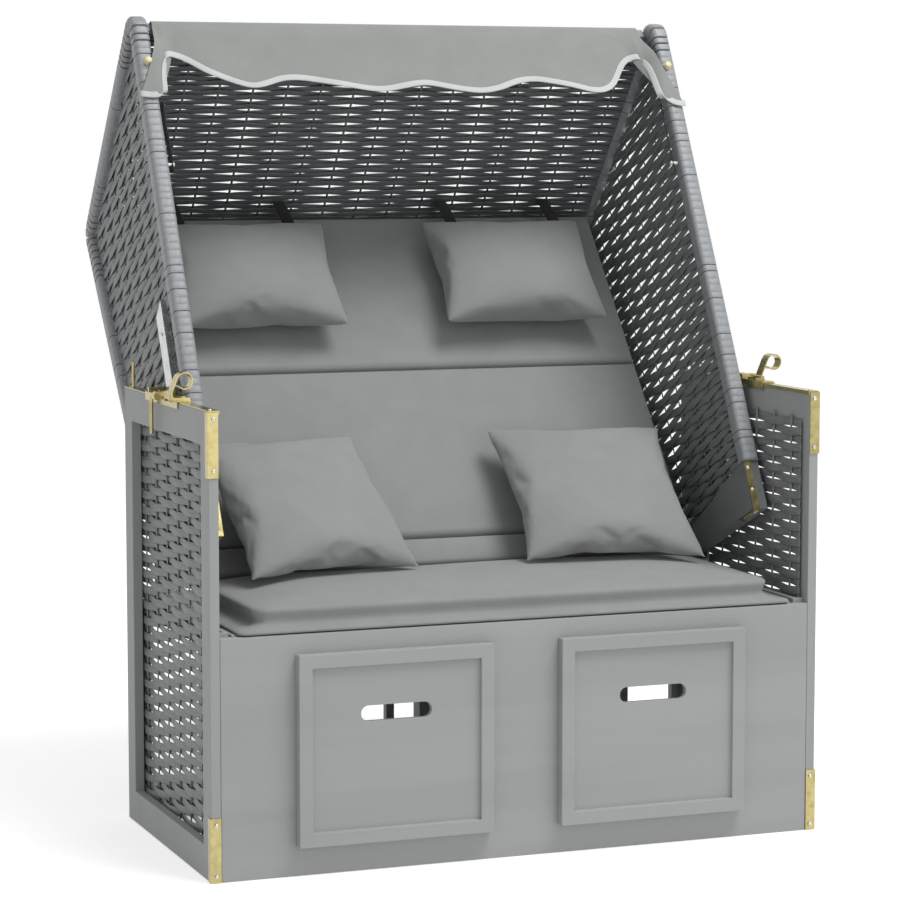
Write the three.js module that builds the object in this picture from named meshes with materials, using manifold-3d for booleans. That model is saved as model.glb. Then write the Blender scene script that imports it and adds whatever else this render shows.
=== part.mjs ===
// A two-seat hooded beach chair: a wooden base with woven sides and two pull-out footrests,
// and a woven hood that tilts on the base. Millimetres, +Z up, +X to the sitter's left as seen
// from the front, -Y to the front. The origin is on the floor at the centre of the base.

import * as THREE from 'three';
import { mergeVertices } from 'three/addons/utils/BufferGeometryUtils.js';
import Module from 'manifold-3d';

const wasm = await Module();
wasm.setup();

// Overall sizes
const overallWidth = 1180;
const baseDepth = 560;
const armHeight = 828;
const boardThickness = 18;
const seatedGap = 0.3;
const overrun = 4;

// Base sides
const stileWidth = 50;
const railHeight = 60;
const sideWeaveThickness = 9.7;
const weaveStileLap = 26;
const weaveRailLap = 15;

// Front board, rear frame and centre frame
const frontBoardHeight = 432;
const postWidth = 17;
const centrePostOffset = 63;
const outerPostOffset = 442;
const rearEndWidth = 24;
const rearBottomRail = 60;
const rearTopRail = 45;
const centreFrameWidth = 30;
const centreFrameRail = 36;

// Seat deck and bearers
const deckTop = 434;
const deckThickness = 16;
const deckSideClearance = 17;
const deckSlatGap = 12.34;
const deckSlats = 6;
const battenWidth = 40;
const battenHeight = 18;
const battenOffset = 250;
const bearerRise = 6;
const bearerSlot = 6;
const bearerLedge = 30;
const bearerHeight = 46;

// Footrests
const footrestSpacing = 500;
const footrestPanelWidth = 368;
const footrestPanelHeight = 344;
const footrestPanelBottom = 53;
const footrestPanelThickness = 20;
const footrestBorder = 25;
const footrestRecess = 8;
const handleWidth = 133;
const handleHeight = 28;
const handleCentre = 285;
const frontOpeningWidth = 320;
const frontOpeningBottom = 80;
const footrestTop = 388;
const footrestRailHeight = 58;
const footrestRailThickness = 15;
const footrestRearClearance = 42;
const footrestSlats = 6;
const footrestSlatWidth = 60;
const footrestSlatThickness = 12;
const footrestClearance = 4;
const runnerWall = 12;
const runnerLip = 11;
const runnerPlay = 0.7;

// Arm rails, corner angles and rear hook rods
const armRailThickness = 2;
const armRailFlange = 7;
const notchRun = 122;
const notchPitch = 15;
const notchDepth = 3;
const hookRodRadius = 3;
const hookRodHeight = 50;
const hookRodSetback = 32;
const angleLength = 115;
const angleLeg = 15;
const angleThickness = 1.5;
const angleScrewRadius = 2.6;
const angleScrewHead = 0.8;
const angleScrewInset = 12;

// Pivot of the hood
const pivotSetback = 430;
const pivotRise = 40;
const pivotPlateThickness = 4.4;
const pivotPlateWidth = 60;
const pivotPlateRise = 30;
const studRadius = 8;
const studClearance = 0.4;
const sideClearance = 0.8;

// Hood outline, in the hood's own frame at its pivot with the front edge upright
const hoodRecline = 27.5;
const hoodSideClearance = 6;
const tubeWidth = 32;
const tubeDepth = 34;
const tubeRound = 9;
const hoodFront = 324;
const hoodRoofAtFront = 1045;
const roofSlope = 22.8;
const backLean = 12.5;
const hoodFootBack = 34;
const hoodFootDrop = 11;
const hoodCornerRadius = 35;
const tubeInnerRound = 3;
const footBoardFront = 315;
const footBoardDrop = 34;
const footBoardHeight = 98;
const footBoardRearHeight = 30;
const hoodWeaveThickness = 12;
const weaveInset = 2;
const sheetWeaveThickness = 10;
const crossbarDepth = 22;
const crossbarWidth = 36;
const hoodCornerThickness = 2.5;
const hoodCornerFoot = 70;
const hoodCornerWidth = 14;

// Guide bars on the hood
const guideBarFront = 258;
const guideBarWidth = 41;
const guideBarThickness = 3;
const guideBarBelow = 79.5;
const guideBarAbove = 172.5;
const guideBarMitre = 18;
const guideSpacerRadius = 6;
const guideSpacerInset = 30;

// Latch carriages, loops and rods on the arms
const carriageForward = 162.4;
const carriageBackward = 51.6;
const carriagePlate = 3;
const saddleDrop = 12;
const saddleWall = 2;
const saddlePlay = 0.6;
const forkHeight = 8;
const forkThickness = 8;
const forkClearance = 7.5;
const leftLoopForward = 148.4;
const rightLoopForward = 113.4;
const rightLoopInset = 6;
const leftLoopOutset = 13.5;
const loopWidth = 25;
const loopStrip = 2;
const loopRingRadius = 14.5;
const loopRise = 44;
const hingePinRadius = 2;
const hingeEyeRadius = 4.2;
const hingePlay = 0.3;
const earThickness = 4;
const loopReach = 12;
const rodRadius = 3.6;
const rodDrop = 72;
const rodRun = 46;
const rodBend = 12;
const rodBracketForward = 63.4;
const rodBracketLength = 16;
const rodEyeRadius = 8;
const rodOffset = 10;

// Seat cushion
const cushionSideClearance = 7;
const cushionRimInset = 36;
const cushionFrontRun = 20;
const cushionDepth = 376;
const cushionHeight = 44;
const cushionCrown = 20;
const cushionWaist = 4;
const cushionFlange = 7;
const cushionCorner = 30;

// Backrest pads
const padSideClearance = 4;
const padFace = 88;
const padSeam = 4;
const padLow = -28;
const padFirstSeam = 34;
const padSecondSeam = 433;
const padCrown = 5;
const padEdge = 10;

// Pillows
const neckPillowWidth = 346;
const neckPillowHeight = 252;
const neckPillowThickness = 124;
const neckPillowOffset = 279;
const neckPillowLow = 498;
const neckSettle = 1.4;
const strapWidth = 25;
const strapThickness = 2;
const strapInnerOffset = 104;
const strapOuterOffset = 125;
const scatterWidth = 352;
const scatterHeight = 342;
const scatterThickness = 116;
const scatterOffset = 280;
const scatterSetback = 219;
const scatterRecline = 48;
const scatterYaw = 10;
const scatterSitShare = 0.7;
const pillowPinch = 16;

// Awning
const awningTopClearance = 16;
const awningSideClearance = 6;
const awningThickness = 3;
const awningDrop = 162;
const awningScallop = 13;
const awningScallopPitch = 233;
const awningArchCentre = 470;
const awningArchHalf = 48;
const awningArchRise = 78;
const awningBelly = 14;
const awningFold = 5;
const awningFlapDrop = 205;
const elasticWidth = 8;
const elasticThickness = 1.6;
const elasticLength = 112;
const pegRadius = 4;
const pegLength = 12;

// Places derived from the sizes
const halfWidth = overallWidth / 2;
const frameInner = halfWidth - boardThickness;
const frontY = -baseDepth / 2;
const rearY = baseDepth / 2;
const insideFront = frontY + boardThickness + seatedGap;
const insideRear = rearY - boardThickness - seatedGap;
const weaveInner = frameInner - seatedGap - sideWeaveThickness;
const deckBottom = deckTop - deckThickness;
const battenBottom = deckBottom - battenHeight;
const hoodHalfWidth = weaveInner - hoodSideClearance;
const deckHalfWidth = weaveInner - deckSideClearance;
const deckSlatWidth = (rearY - insideFront - (deckSlats - 1) * deckSlatGap) / deckSlats;
const cushionHalfWidth = deckHalfWidth - cushionSideClearance;
const hoodInner = hoodHalfWidth - tubeWidth;
const hoodClear = hoodInner - seatedGap;
const padHalfWidth = hoodInner - padSideClearance;
const awningTopHalfWidth = hoodInner - awningTopClearance;
const awningHalfWidth = hoodInner - awningSideClearance;
const footrestLength = baseDepth - boardThickness - footrestRearClearance;
const bearerTop = deckTop + bearerRise;
const pivotY = frontY + pivotSetback;
const pivotHeight = bearerTop + pivotRise;
const armTop = armHeight + seatedGap;

const radians = THREE.MathUtils.degToRad;
const sin = (degrees) => Math.sin(radians(degrees));
const cos = (degrees) => Math.cos(radians(degrees));

// Finishes
const finish = (color, roughness, metalness) =>
  new THREE.MeshStandardMaterial({ color, roughness, metalness });
const finishes = {
  paintedWood: () => finish('#a0a2a2', 0.6, 0),
  darkWood: () => finish('#5b5b5c', 0.65, 0),
  strand: () => finish('#7b7d7d', 0.5, 0),
  roofStrand: () => finish('#55595b', 0.5, 0),
  wrappedTube: () => finish('#aeb0b3', 0.45, 0),
  brass: () => finish('#d9c06a', 0.25, 1),
  steel: () => finish('#8d8f92', 0.4, 1),
  fabric: () => finish('#8f9290', 0.9, 0),
  webbing: () => finish('#1c1c1d', 0.85, 0),
  cord: () => finish('#222224', 0.8, 0),
};

// Turns a closed geometry into a solid for joins and cuts.
function solid(geometry) {
  const bare = geometry.clone();
  bare.deleteAttribute('normal');
  bare.deleteAttribute('uv');
  const merged = mergeVertices(bare);
  return new wasm.Manifold(new wasm.Mesh({
    numProp: 3,
    vertProperties: new Float32Array(merged.attributes.position.array),
    triVerts: new Uint32Array(merged.index.array),
  }));
}

// Turns a solid back into a geometry.
function surface(body) {
  const mesh = body.getMesh();
  const geometry = new THREE.BufferGeometry();
  geometry.setAttribute('position', new THREE.BufferAttribute(mesh.vertProperties, 3));
  geometry.setIndex(new THREE.BufferAttribute(mesh.triVerts, 1));
  geometry.computeVertexNormals();
  return geometry;
}

const join = (...geometries) => surface(geometries.map(solid).reduce((all, one) => all.add(one)));

const cut = (geometry, ...cutters) =>
  surface(cutters.map(solid).reduce((left, cutter) => left.subtract(cutter), solid(geometry)));

// A box between two corners.
function block(low, high) {
  const size = high.map((value, axis) => value - low[axis]);
  const geometry = new THREE.BoxGeometry(...size);
  geometry.translate(...low.map((value, axis) => value + size[axis] / 2));
  return geometry;
}

const outline = (points) => new THREE.Shape(points.map(([a, b]) => new THREE.Vector2(a, b)));

// A prism of a (y, z) outline between two x places, with its long edges rounded when asked.
function acrossX(shape, x0, x1, round = 0) {
  const geometry = new THREE.ExtrudeGeometry(shape, {
    depth: x1 - x0 - 2 * round,
    bevelEnabled: round > 0,
    bevelSize: round,
    bevelOffset: -round,
    bevelThickness: round,
    bevelSegments: 2,
    curveSegments: 10,
  });
  geometry.applyMatrix4(new THREE.Matrix4().makeBasis(
    new THREE.Vector3(0, 1, 0),
    new THREE.Vector3(0, 0, 1),
    new THREE.Vector3(1, 0, 0),
  ));
  geometry.translate(x0 + round, 0, 0);
  return geometry;
}

// A prism of an (x, z) outline between two y places.
function alongY(shape, y0, y1) {
  const geometry = new THREE.ExtrudeGeometry(shape, {
    depth: y1 - y0,
    bevelEnabled: false,
    curveSegments: 12,
  });
  geometry.applyMatrix4(new THREE.Matrix4().makeBasis(
    new THREE.Vector3(1, 0, 0),
    new THREE.Vector3(0, 0, 1),
    new THREE.Vector3(0, -1, 0),
  ));
  geometry.translate(0, y1, 0);
  return geometry;
}

// A round bar along X, Y or Z between two places.
function bar(radius, axis, from, to, centre, sides = 16) {
  const geometry = new THREE.CylinderGeometry(radius, radius, to - from, sides);
  const middle = (from + to) / 2;
  if (axis === 'x') {
    geometry.rotateZ(Math.PI / 2);
    geometry.translate(middle, centre[0], centre[1]);
  } else if (axis === 'y') {
    geometry.translate(centre[0], middle, centre[1]);
  } else {
    geometry.rotateX(Math.PI / 2);
    geometry.translate(centre[0], centre[1], middle);
  }
  return geometry;
}

// The same piece on the other side of the centre plane.
function mirrored(geometry) {
  const copy = geometry.index ? geometry.clone() : mergeVertices(bareCopy(geometry));
  copy.scale(-1, 1, 1);
  const index = copy.index.array;
  for (let corner = 0; corner < index.length; corner += 3) {
    const first = index[corner];
    index[corner] = index[corner + 1];
    index[corner + 1] = first;
  }
  copy.computeVertexNormals();
  return copy;
}

function bareCopy(geometry) {
  const copy = geometry.clone();
  copy.deleteAttribute('normal');
  copy.deleteAttribute('uv');
  return copy;
}

const chair = new THREE.Group();
const hood = new THREE.Group();
hood.position.set(0, pivotY, pivotHeight);
hood.rotation.x = radians(-hoodRecline);
chair.add(hood);

function place(parent, name, geometry, material) {
  const mesh = new THREE.Mesh(geometry, material());
  mesh.name = name;
  parent.add(mesh);
  return mesh;
}

function placePair(parent, name, geometry, material) {
  place(parent, `${name}_right`, geometry, material);
  place(parent, `${name}_left`, mirrored(geometry), material);
}

// The corners of a polygon, each rounded to its own radius.
function rounded(corners, steps = 6) {
  const points = [];
  corners.forEach(([a, b, radius = 0], index) => {
    const corner = new THREE.Vector2(a, b);
    const before = new THREE.Vector2(...corners.at(index - 1)).sub(corner);
    const after = new THREE.Vector2(...corners[(index + 1) % corners.length]).sub(corner);
    if (radius === 0) {
      points.push([a, b]);
      return;
    }
    const half = Math.abs(before.angleTo(after)) / 2;
    const run = radius / Math.tan(half);
    const start = corner.clone().add(before.setLength(run));
    const end = corner.clone().add(after.setLength(run));
    const curve = new THREE.QuadraticBezierCurve(start, corner, end);
    curve.getPoints(steps).forEach((point) => points.push([point.x, point.y]));
  });
  return points;
}

// Base

function sideFrame() {
  const board = outline([[frontY, 0], [rearY, 0], [rearY, armHeight], [frontY, armHeight]]);
  board.holes.push(new THREE.Path([
    new THREE.Vector2(frontY + stileWidth, railHeight),
    new THREE.Vector2(rearY - stileWidth, railHeight),
    new THREE.Vector2(rearY - stileWidth, armHeight - railHeight),
    new THREE.Vector2(frontY + stileWidth, armHeight - railHeight),
  ]));
  return acrossX(board, frameInner, halfWidth);
}

function sideWeave() {
  const reach = stileWidth - weaveStileLap;
  return block(
    [weaveInner, frontY + reach, railHeight - weaveRailLap],
    [frameInner - seatedGap, rearY - reach, armHeight - railHeight + weaveRailLap],
  );
}

function frontBoard() {
  const inner = frameInner - seatedGap;
  const board = block([-inner, frontY, 0], [inner, frontY + boardThickness, frontBoardHeight]);
  const openings = [-1, 1].map((side) => {
    const centre = side * footrestSpacing / 2;
    return block(
      [centre - frontOpeningWidth / 2, frontY - overrun, frontOpeningBottom],
      [centre + frontOpeningWidth / 2, frontY + boardThickness + overrun,
        footrestTop + footrestClearance],
    );
  });
  return cut(board, ...openings);
}

function rearFrame() {
  const inner = frameInner - seatedGap;
  const top = deckBottom - seatedGap;
  const frame = block([-inner, rearY - boardThickness, 0], [inner, rearY, top]);
  const half = postWidth / 2;
  const windows = [
    [-inner + rearEndWidth, -outerPostOffset - half],
    [-outerPostOffset + half, -centrePostOffset - half],
    [-centrePostOffset + half, centrePostOffset - half],
    [centrePostOffset + half, outerPostOffset - half],
    [outerPostOffset + half, inner - rearEndWidth],
  ].map(([left, right]) => block(
    [left, rearY - boardThickness - overrun, rearBottomRail],
    [right, rearY + overrun, top - rearTopRail],
  ));
  return cut(frame, ...windows);
}

function centreFrame() {
  const top = battenBottom - seatedGap;
  const frame = outline([[insideFront, 0], [insideRear, 0], [insideRear, top], [insideFront, top]]);
  frame.holes.push(new THREE.Path([
    new THREE.Vector2(insideFront + centreFrameRail, centreFrameRail),
    new THREE.Vector2(insideRear - centreFrameRail, centreFrameRail),
    new THREE.Vector2(insideRear - centreFrameRail, top - centreFrameRail),
    new THREE.Vector2(insideFront + centreFrameRail, top - centreFrameRail),
  ]));
  return acrossX(frame, -centreFrameWidth / 2, centreFrameWidth / 2);
}

function seatDeck() {
  const pitch = deckSlatWidth + deckSlatGap;
  const slats = Array.from({ length: deckSlats }, (_, row) => {
    const start = insideFront + row * pitch;
    return block([-deckHalfWidth, start, deckBottom], [deckHalfWidth, start + deckSlatWidth, deckTop]);
  });
  const outer = deckHalfWidth + bearerSlot - bearerLedge - battenWidth;
  const battens = [-outer, -battenOffset, 0, battenOffset, outer].map((centre) => block(
    [centre - battenWidth / 2, insideFront, battenBottom],
    [centre + battenWidth / 2, insideRear, deckBottom + overrun],
  ));
  return join(...slats, ...battens);
}

function seatBearer() {
  const inner = deckHalfWidth + bearerSlot;
  const ledge = deckBottom - seatedGap;
  const bottom = bearerTop - bearerHeight;
  const outer = weaveInner - seatedGap;
  const section = outline([
    [inner - bearerLedge, bottom], [outer, bottom], [outer, bearerTop],
    [inner, bearerTop], [inner, ledge], [inner - bearerLedge, ledge],
  ]);
  const length = alongY(section, insideFront, insideRear);
  const head = block(
    [inner, insideFront, bottom],
    [frameInner - seatedGap, frontY + stileWidth - weaveStileLap - seatedGap, bearerTop],
  );
  return join(length, head);
}

function footrestRunner(side) {
  const centre = side * footrestSpacing / 2;
  const railOuter = frontOpeningWidth / 2 - footrestClearance;
  const railBottom = footrestTop - footrestRailHeight;
  const low = railBottom - runnerPlay - runnerLip;
  const high = footrestTop + runnerPlay + (battenBottom - footrestTop - runnerPlay) / 2;
  const channels = [-1, 1].map((end) => {
    const wallInner = centre + end * (railOuter + runnerPlay);
    const wallOuter = wallInner + end * runnerWall;
    const lipInner = centre + end * (railOuter - footrestRailThickness);
    const section = outline([
      [wallOuter, low], [wallOuter, high], [lipInner, high], [lipInner, footrestTop + runnerPlay],
      [wallInner, footrestTop + runnerPlay], [wallInner, railBottom - runnerPlay],
      [lipInner, railBottom - runnerPlay], [lipInner, low],
    ]);
    return alongY(section, insideFront, insideRear);
  });
  const reach = railOuter + runnerPlay + runnerWall;
  const cross = block(
    [centre - reach, insideRear - boardThickness, low],
    [centre + reach, insideRear, high],
  );
  return join(...channels, cross);
}

function stadium(width, height, centre) {
  const radius = height / 2;
  const half = width / 2 - radius;
  const path = new THREE.Path();
  path.absarc(half, 0, radius, -Math.PI / 2, Math.PI / 2, false);
  path.absarc(-half, 0, radius, Math.PI / 2, 1.5 * Math.PI, false);
  const shape = new THREE.Shape(path.getPoints(8).map(
    (point) => new THREE.Vector2(point.x + centre[0], point.y + centre[1]),
  ));
  return shape;
}

function footrestPanel(side) {
  const centre = side * footrestSpacing / 2;
  const back = frontY - seatedGap;
  const front = back - footrestPanelThickness;
  const top = footrestPanelBottom + footrestPanelHeight;
  const half = footrestPanelWidth / 2;
  const panel = block([centre - half, front, footrestPanelBottom], [centre + half, back, top]);
  const field = block(
    [centre - half + footrestBorder, front - overrun, footrestPanelBottom + footrestBorder],
    [centre + half - footrestBorder, front + footrestRecess, top - footrestBorder],
  );
  const slot = alongY(
    stadium(handleWidth, handleHeight, [centre, handleCentre]),
    front - overrun,
    back + overrun,
  );
  return cut(panel, field, slot);
}

function footrestCarriage(side) {
  const centre = side * footrestSpacing / 2;
  const railOuter = frontOpeningWidth / 2 - footrestClearance;
  const railInner = railOuter - footrestRailThickness;
  const bottom = footrestTop - footrestRailHeight;
  const rear = frontY + footrestLength;
  const rails = [-1, 1].map((end) => {
    const near = Math.min(centre + end * railInner, centre + end * railOuter);
    return block([near, frontY, bottom], [near + footrestRailThickness, rear, footrestTop]);
  });
  const pitch = (footrestLength - footrestSlatWidth) / (footrestSlats - 1);
  const slats = Array.from({ length: footrestSlats }, (_, row) => {
    const start = frontY + row * pitch;
    return block(
      [centre - railInner - overrun, start, footrestTop - footrestSlatThickness],
      [centre + railInner + overrun, start + footrestSlatWidth, footrestTop],
    );
  });
  return join(...rails, ...slats);
}

place(chair, 'side_frame_right', sideFrame(), finishes.paintedWood);
place(chair, 'side_frame_left', mirrored(sideFrame()), finishes.paintedWood);
placePair(chair, 'side_weave', sideWeave(), finishes.strand);
place(chair, 'front_board', frontBoard(), finishes.paintedWood);
place(chair, 'rear_frame', rearFrame(), finishes.paintedWood);
place(chair, 'centre_frame', centreFrame(), finishes.paintedWood);
place(chair, 'seat_deck', seatDeck(), finishes.paintedWood);
placePair(chair, 'seat_bearer', seatBearer(), finishes.paintedWood);
[['left', -1], ['right', 1]].forEach(([name, side]) => {
  place(chair, `footrest_runner_${name}`, footrestRunner(side), finishes.paintedWood);
  place(chair, `footrest_panel_${name}`, footrestPanel(side), finishes.paintedWood);
  place(chair, `footrest_carriage_${name}`, footrestCarriage(side), finishes.paintedWood);
});

// Base metalwork

function armRail() {
  const cap = block(
    [frameInner - seatedGap - armRailThickness, frontY, armTop],
    [halfWidth, rearY, armTop + armRailThickness],
  );
  const low = armTop + armRailThickness - armRailFlange;
  const edge = [[frontY, armTop + armRailThickness], [frontY, low]];
  const notches = Math.floor(notchRun / notchPitch);
  for (let step = 0; step < notches; step += 1) {
    const start = frontY + step * notchPitch;
    edge.push([start + notchPitch / 3, low], [start + notchPitch / 2, low + notchDepth]);
    edge.push([start + 2 * notchPitch / 3, low]);
  }
  edge.push([rearY, low], [rearY, armTop + armRailThickness]);
  const flange = acrossX(
    outline(edge),
    frameInner - seatedGap - armRailThickness,
    frameInner - seatedGap,
  );
  const rod = bar(
    hookRodRadius,
    'z',
    armTop + armRailThickness / 2,
    armTop + hookRodHeight,
    [(frameInner + halfWidth) / 2, rearY - hookRodSetback],
  );
  return join(cap, flange, rod);
}

function cornerAngle(low) {
  const outer = halfWidth + seatedGap;
  const face = frontY - seatedGap;
  const front = block(
    [outer - boardThickness, face - angleThickness, low],
    [outer + angleThickness, face, low + angleLength],
  );
  const flank = block(
    [outer, face - angleThickness, low],
    [outer + angleThickness, face + angleLeg, low + angleLength],
  );
  const heads = [low + angleScrewInset, low + angleLength - angleScrewInset].map((height) => bar(
    angleScrewRadius,
    'y',
    face - angleThickness - angleScrewHead,
    face - angleThickness / 2,
    [halfWidth - boardThickness / 2, height],
    10,
  ));
  return join(front, flank, ...heads);
}

function pivotBracket() {
  const outer = weaveInner - seatedGap;
  const inner = outer - pivotPlateThickness;
  const foot = bearerTop + seatedGap;
  const half = pivotPlateWidth / 2;
  const plate = acrossX(outline(rounded([
    [pivotY - half, foot], [pivotY + half, foot],
    [pivotY + half, pivotHeight + pivotPlateRise, pivotPlateRise / 2],
    [pivotY - half, pivotHeight + pivotPlateRise, pivotPlateRise / 2],
  ])), inner, outer);
  const base = block(
    [deckHalfWidth + bearerSlot, pivotY - half, foot],
    [outer, pivotY + half, foot + pivotPlateThickness],
  );
  const stud = bar(
    studRadius,
    'x',
    hoodInner - seatedGap,
    inner + pivotPlateThickness / 2,
    [pivotY, pivotHeight],
    24,
  );
  return join(plate, base, stud);
}

placePair(chair, 'arm_rail', armRail(), finishes.brass);
placePair(chair, 'corner_angle_lower', cornerAngle(0), finishes.brass);
placePair(chair, 'corner_angle_upper', cornerAngle(armHeight - angleLength), finishes.brass);
placePair(chair, 'pivot_bracket', pivotBracket(), finishes.steel);

// Latch on each arm

const railTop = armTop + armRailThickness;
const saddleInner = frameInner - seatedGap - armRailThickness - saddlePlay;
const saddleOuter = halfWidth + saddlePlay;
const plateLow = railTop + seatedGap;
const plateHigh = plateLow + carriagePlate;
const forkMiddle = plateHigh + forkHeight / 2;

// Where the middle of the guide bar crosses the fork, behind the pivot.
const crossingY = pivotY + (forkMiddle - pivotHeight) * Math.tan(radians(hoodRecline))
  - (guideBarFront - guideBarWidth / 2) / cos(hoodRecline);
const crossingRise = (forkMiddle - pivotHeight) / cos(hoodRecline)
  - (guideBarFront - guideBarWidth / 2) * Math.tan(radians(hoodRecline));
const guideBarBottom = crossingRise - guideBarBelow;
const guideBarTop = crossingRise + guideBarAbove;
const carriageFront = crossingY - carriageForward;
const carriageRear = crossingY + carriageBackward;
const bracketY = crossingY - rodBracketForward;
const forkHalf = (guideBarWidth / 2) / cos(hoodRecline)
  + (forkHeight / 2) * Math.tan(radians(hoodRecline)) + forkClearance;
const hingeHeight = plateHigh + hingeEyeRadius + hingePlay;

function latchCarriage(loopX, loopY, handed) {
  const plate = block(
    [saddleInner - saddleWall, carriageFront, plateLow],
    [saddleOuter + saddleWall, carriageRear, plateHigh],
  );
  const innerWall = block(
    [saddleInner - saddleWall, carriageFront, railTop - saddleDrop],
    [saddleInner, carriageRear, plateHigh],
  );
  const outerWall = block(
    [saddleOuter, carriageFront, railTop - saddleDrop],
    [saddleOuter + saddleWall, carriageRear, plateHigh],
  );
  const fingers = [-1, 1].map((end) => {
    const near = crossingY + end * forkHalf;
    const far = near + end * forkThickness;
    return block(
      [hoodHalfWidth + sideClearance, Math.min(near, far), plateLow],
      [saddleOuter, Math.max(near, far), plateHigh + forkHeight],
    );
  });
  const half = loopWidth / 2;
  const ears = [-1, 1].map((end) => {
    const near = loopY + end * (half + hingePlay);
    const far = near + end * earThickness;
    return join(
      block(
        [Math.min(loopX - hingeEyeRadius, handed * saddleInner), Math.min(near, far), plateLow],
        [Math.max(loopX + hingeEyeRadius, handed * saddleInner), Math.max(near, far), hingeHeight],
      ),
      bar(hingeEyeRadius, 'y', Math.min(near, far), Math.max(near, far), [loopX, hingeHeight]),
    );
  });
  const pin = bar(
    hingePinRadius,
    'y',
    loopY - half - hingePlay - earThickness / 2,
    loopY + half + hingePlay + earThickness / 2,
    [loopX, hingeHeight],
    12,
  );
  const bracket = cut(
    join(
      block(
        [saddleOuter - boardThickness, bracketY, plateLow],
        [halfWidth + rodOffset, bracketY + rodBracketLength, plateHigh + rodEyeRadius],
      ),
      bar(rodEyeRadius, 'y', bracketY, bracketY + rodBracketLength,
        [halfWidth + rodOffset, plateHigh]),
    ),
    bar(rodRadius + hingePlay, 'y', bracketY - overrun, bracketY + rodBracketLength + overrun,
      [halfWidth + rodOffset, plateHigh], 12),
  );
  const body = [plate, innerWall, outerWall, ...fingers, bracket];
  return join(...(handed > 0 ? body : body.map(mirrored)), ...ears, pin);
}

// A strip of even thickness along a list of points, as a closed outline.
function ribbon(points, thickness) {
  const left = [];
  const right = [];
  points.forEach((point, index) => {
    const before = points[Math.max(index - 1, 0)];
    const after = points[Math.min(index + 1, points.length - 1)];
    const along = new THREE.Vector2(after[0] - before[0], after[1] - before[1]).normalize();
    left.push([point[0] - along.y * thickness / 2, point[1] + along.x * thickness / 2]);
    right.push([point[0] + along.y * thickness / 2, point[1] - along.x * thickness / 2]);
  });
  return outline([...right, ...left.reverse()]);
}

function latchLoop(loopX, loopY) {
  const half = loopWidth / 2;
  const ringX = loopX + loopReach + loopRingRadius;
  const ringZ = hingeHeight + loopRise - loopRingRadius;
  const curl = [[loopX, hingeHeight + hingePinRadius + hingePlay + loopStrip / 2]];
  const turns = 20;
  for (let step = 0; step <= turns; step += 1) {
    const angle = 160 - step * 300 / turns;
    curl.push([ringX + loopRingRadius * cos(angle), ringZ + loopRingRadius * sin(angle)]);
  }
  const strip = alongY(ribbon(curl, loopStrip), loopY - half, loopY + half);
  const eye = bar(hingeEyeRadius, 'y', loopY - half, loopY + half, [loopX, hingeHeight], 16);
  const hole = bar(hingePinRadius + hingePlay, 'y', loopY - half - overrun, loopY + half + overrun,
    [loopX, hingeHeight], 12);
  return cut(join(strip, eye), hole);
}

function latchRod() {
  const x = halfWidth + rodOffset;
  const start = bracketY - rodBend;
  const elbow = start + rodRun + rodBend;
  const path = new THREE.CurvePath();
  const bendStart = new THREE.Vector3(x, elbow - rodBend, plateHigh);
  const bendEnd = new THREE.Vector3(x, elbow, plateHigh - rodBend);
  path.add(new THREE.LineCurve3(new THREE.Vector3(x, start, plateHigh), bendStart));
  path.add(new THREE.QuadraticBezierCurve3(
    bendStart,
    new THREE.Vector3(x, elbow, plateHigh),
    bendEnd,
  ));
  path.add(new THREE.LineCurve3(bendEnd, new THREE.Vector3(x, elbow, plateHigh - rodDrop)));
  const section = new THREE.Shape();
  section.absarc(0, 0, rodRadius, 0, 2 * Math.PI, false);
  return new THREE.ExtrudeGeometry(section, {
    steps: 24,
    extrudePath: path,
    curveSegments: 5,
    bevelEnabled: false,
  });
}

const rightLoopX = halfWidth - rightLoopInset;
const leftLoopX = -halfWidth - leftLoopOutset;
place(chair, 'latch_carriage_right',
  latchCarriage(rightLoopX, crossingY - rightLoopForward, 1), finishes.brass);
place(chair, 'latch_carriage_left',
  latchCarriage(leftLoopX, crossingY - leftLoopForward, -1), finishes.brass);
place(chair, 'latch_loop_right', latchLoop(rightLoopX, crossingY - rightLoopForward), finishes.brass);
place(chair, 'latch_loop_left', latchLoop(leftLoopX, crossingY - leftLoopForward), finishes.brass);
placePair(chair, 'latch_rod', latchRod(), finishes.brass);

// Hood lines: each is a point and a direction in the hood's (y, z) plane, and runs along the
// outside of the front, the roof and the back.

const frontLine = { at: [-hoodFront, 0], way: [0, 1], inward: [1, 0] };
const roofLine = {
  at: [-hoodFront, hoodRoofAtFront],
  way: [cos(roofSlope), -sin(roofSlope)],
  inward: [-sin(roofSlope), -cos(roofSlope)],
};
const backLine = {
  at: [hoodFootBack, -hoodFootDrop],
  way: [sin(backLean), cos(backLean)],
  inward: [-cos(backLean), sin(backLean)],
};

// The point on a line, a run along it and a depth inward of it.
const onLine = (line, run, depth = 0) => [
  line.at[0] + line.way[0] * run + line.inward[0] * depth,
  line.at[1] + line.way[1] * run + line.inward[1] * depth,
];

// Where two lines meet, each moved inward by its own depth.
function meet(first, firstDepth, second, secondDepth) {
  const [py, pz] = onLine(first, 0, firstDepth);
  const [qy, qz] = onLine(second, 0, secondDepth);
  const cross = first.way[0] * second.way[1] - first.way[1] * second.way[0];
  const run = ((qy - py) * second.way[1] - (qz - pz) * second.way[0]) / cross;
  return [py + first.way[0] * run, pz + first.way[1] * run];
}

// How far along a line a point lies.
const runOf = (line, point) =>
  (point[0] - line.at[0]) * line.way[0] + (point[1] - line.at[1]) * line.way[1];

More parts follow.
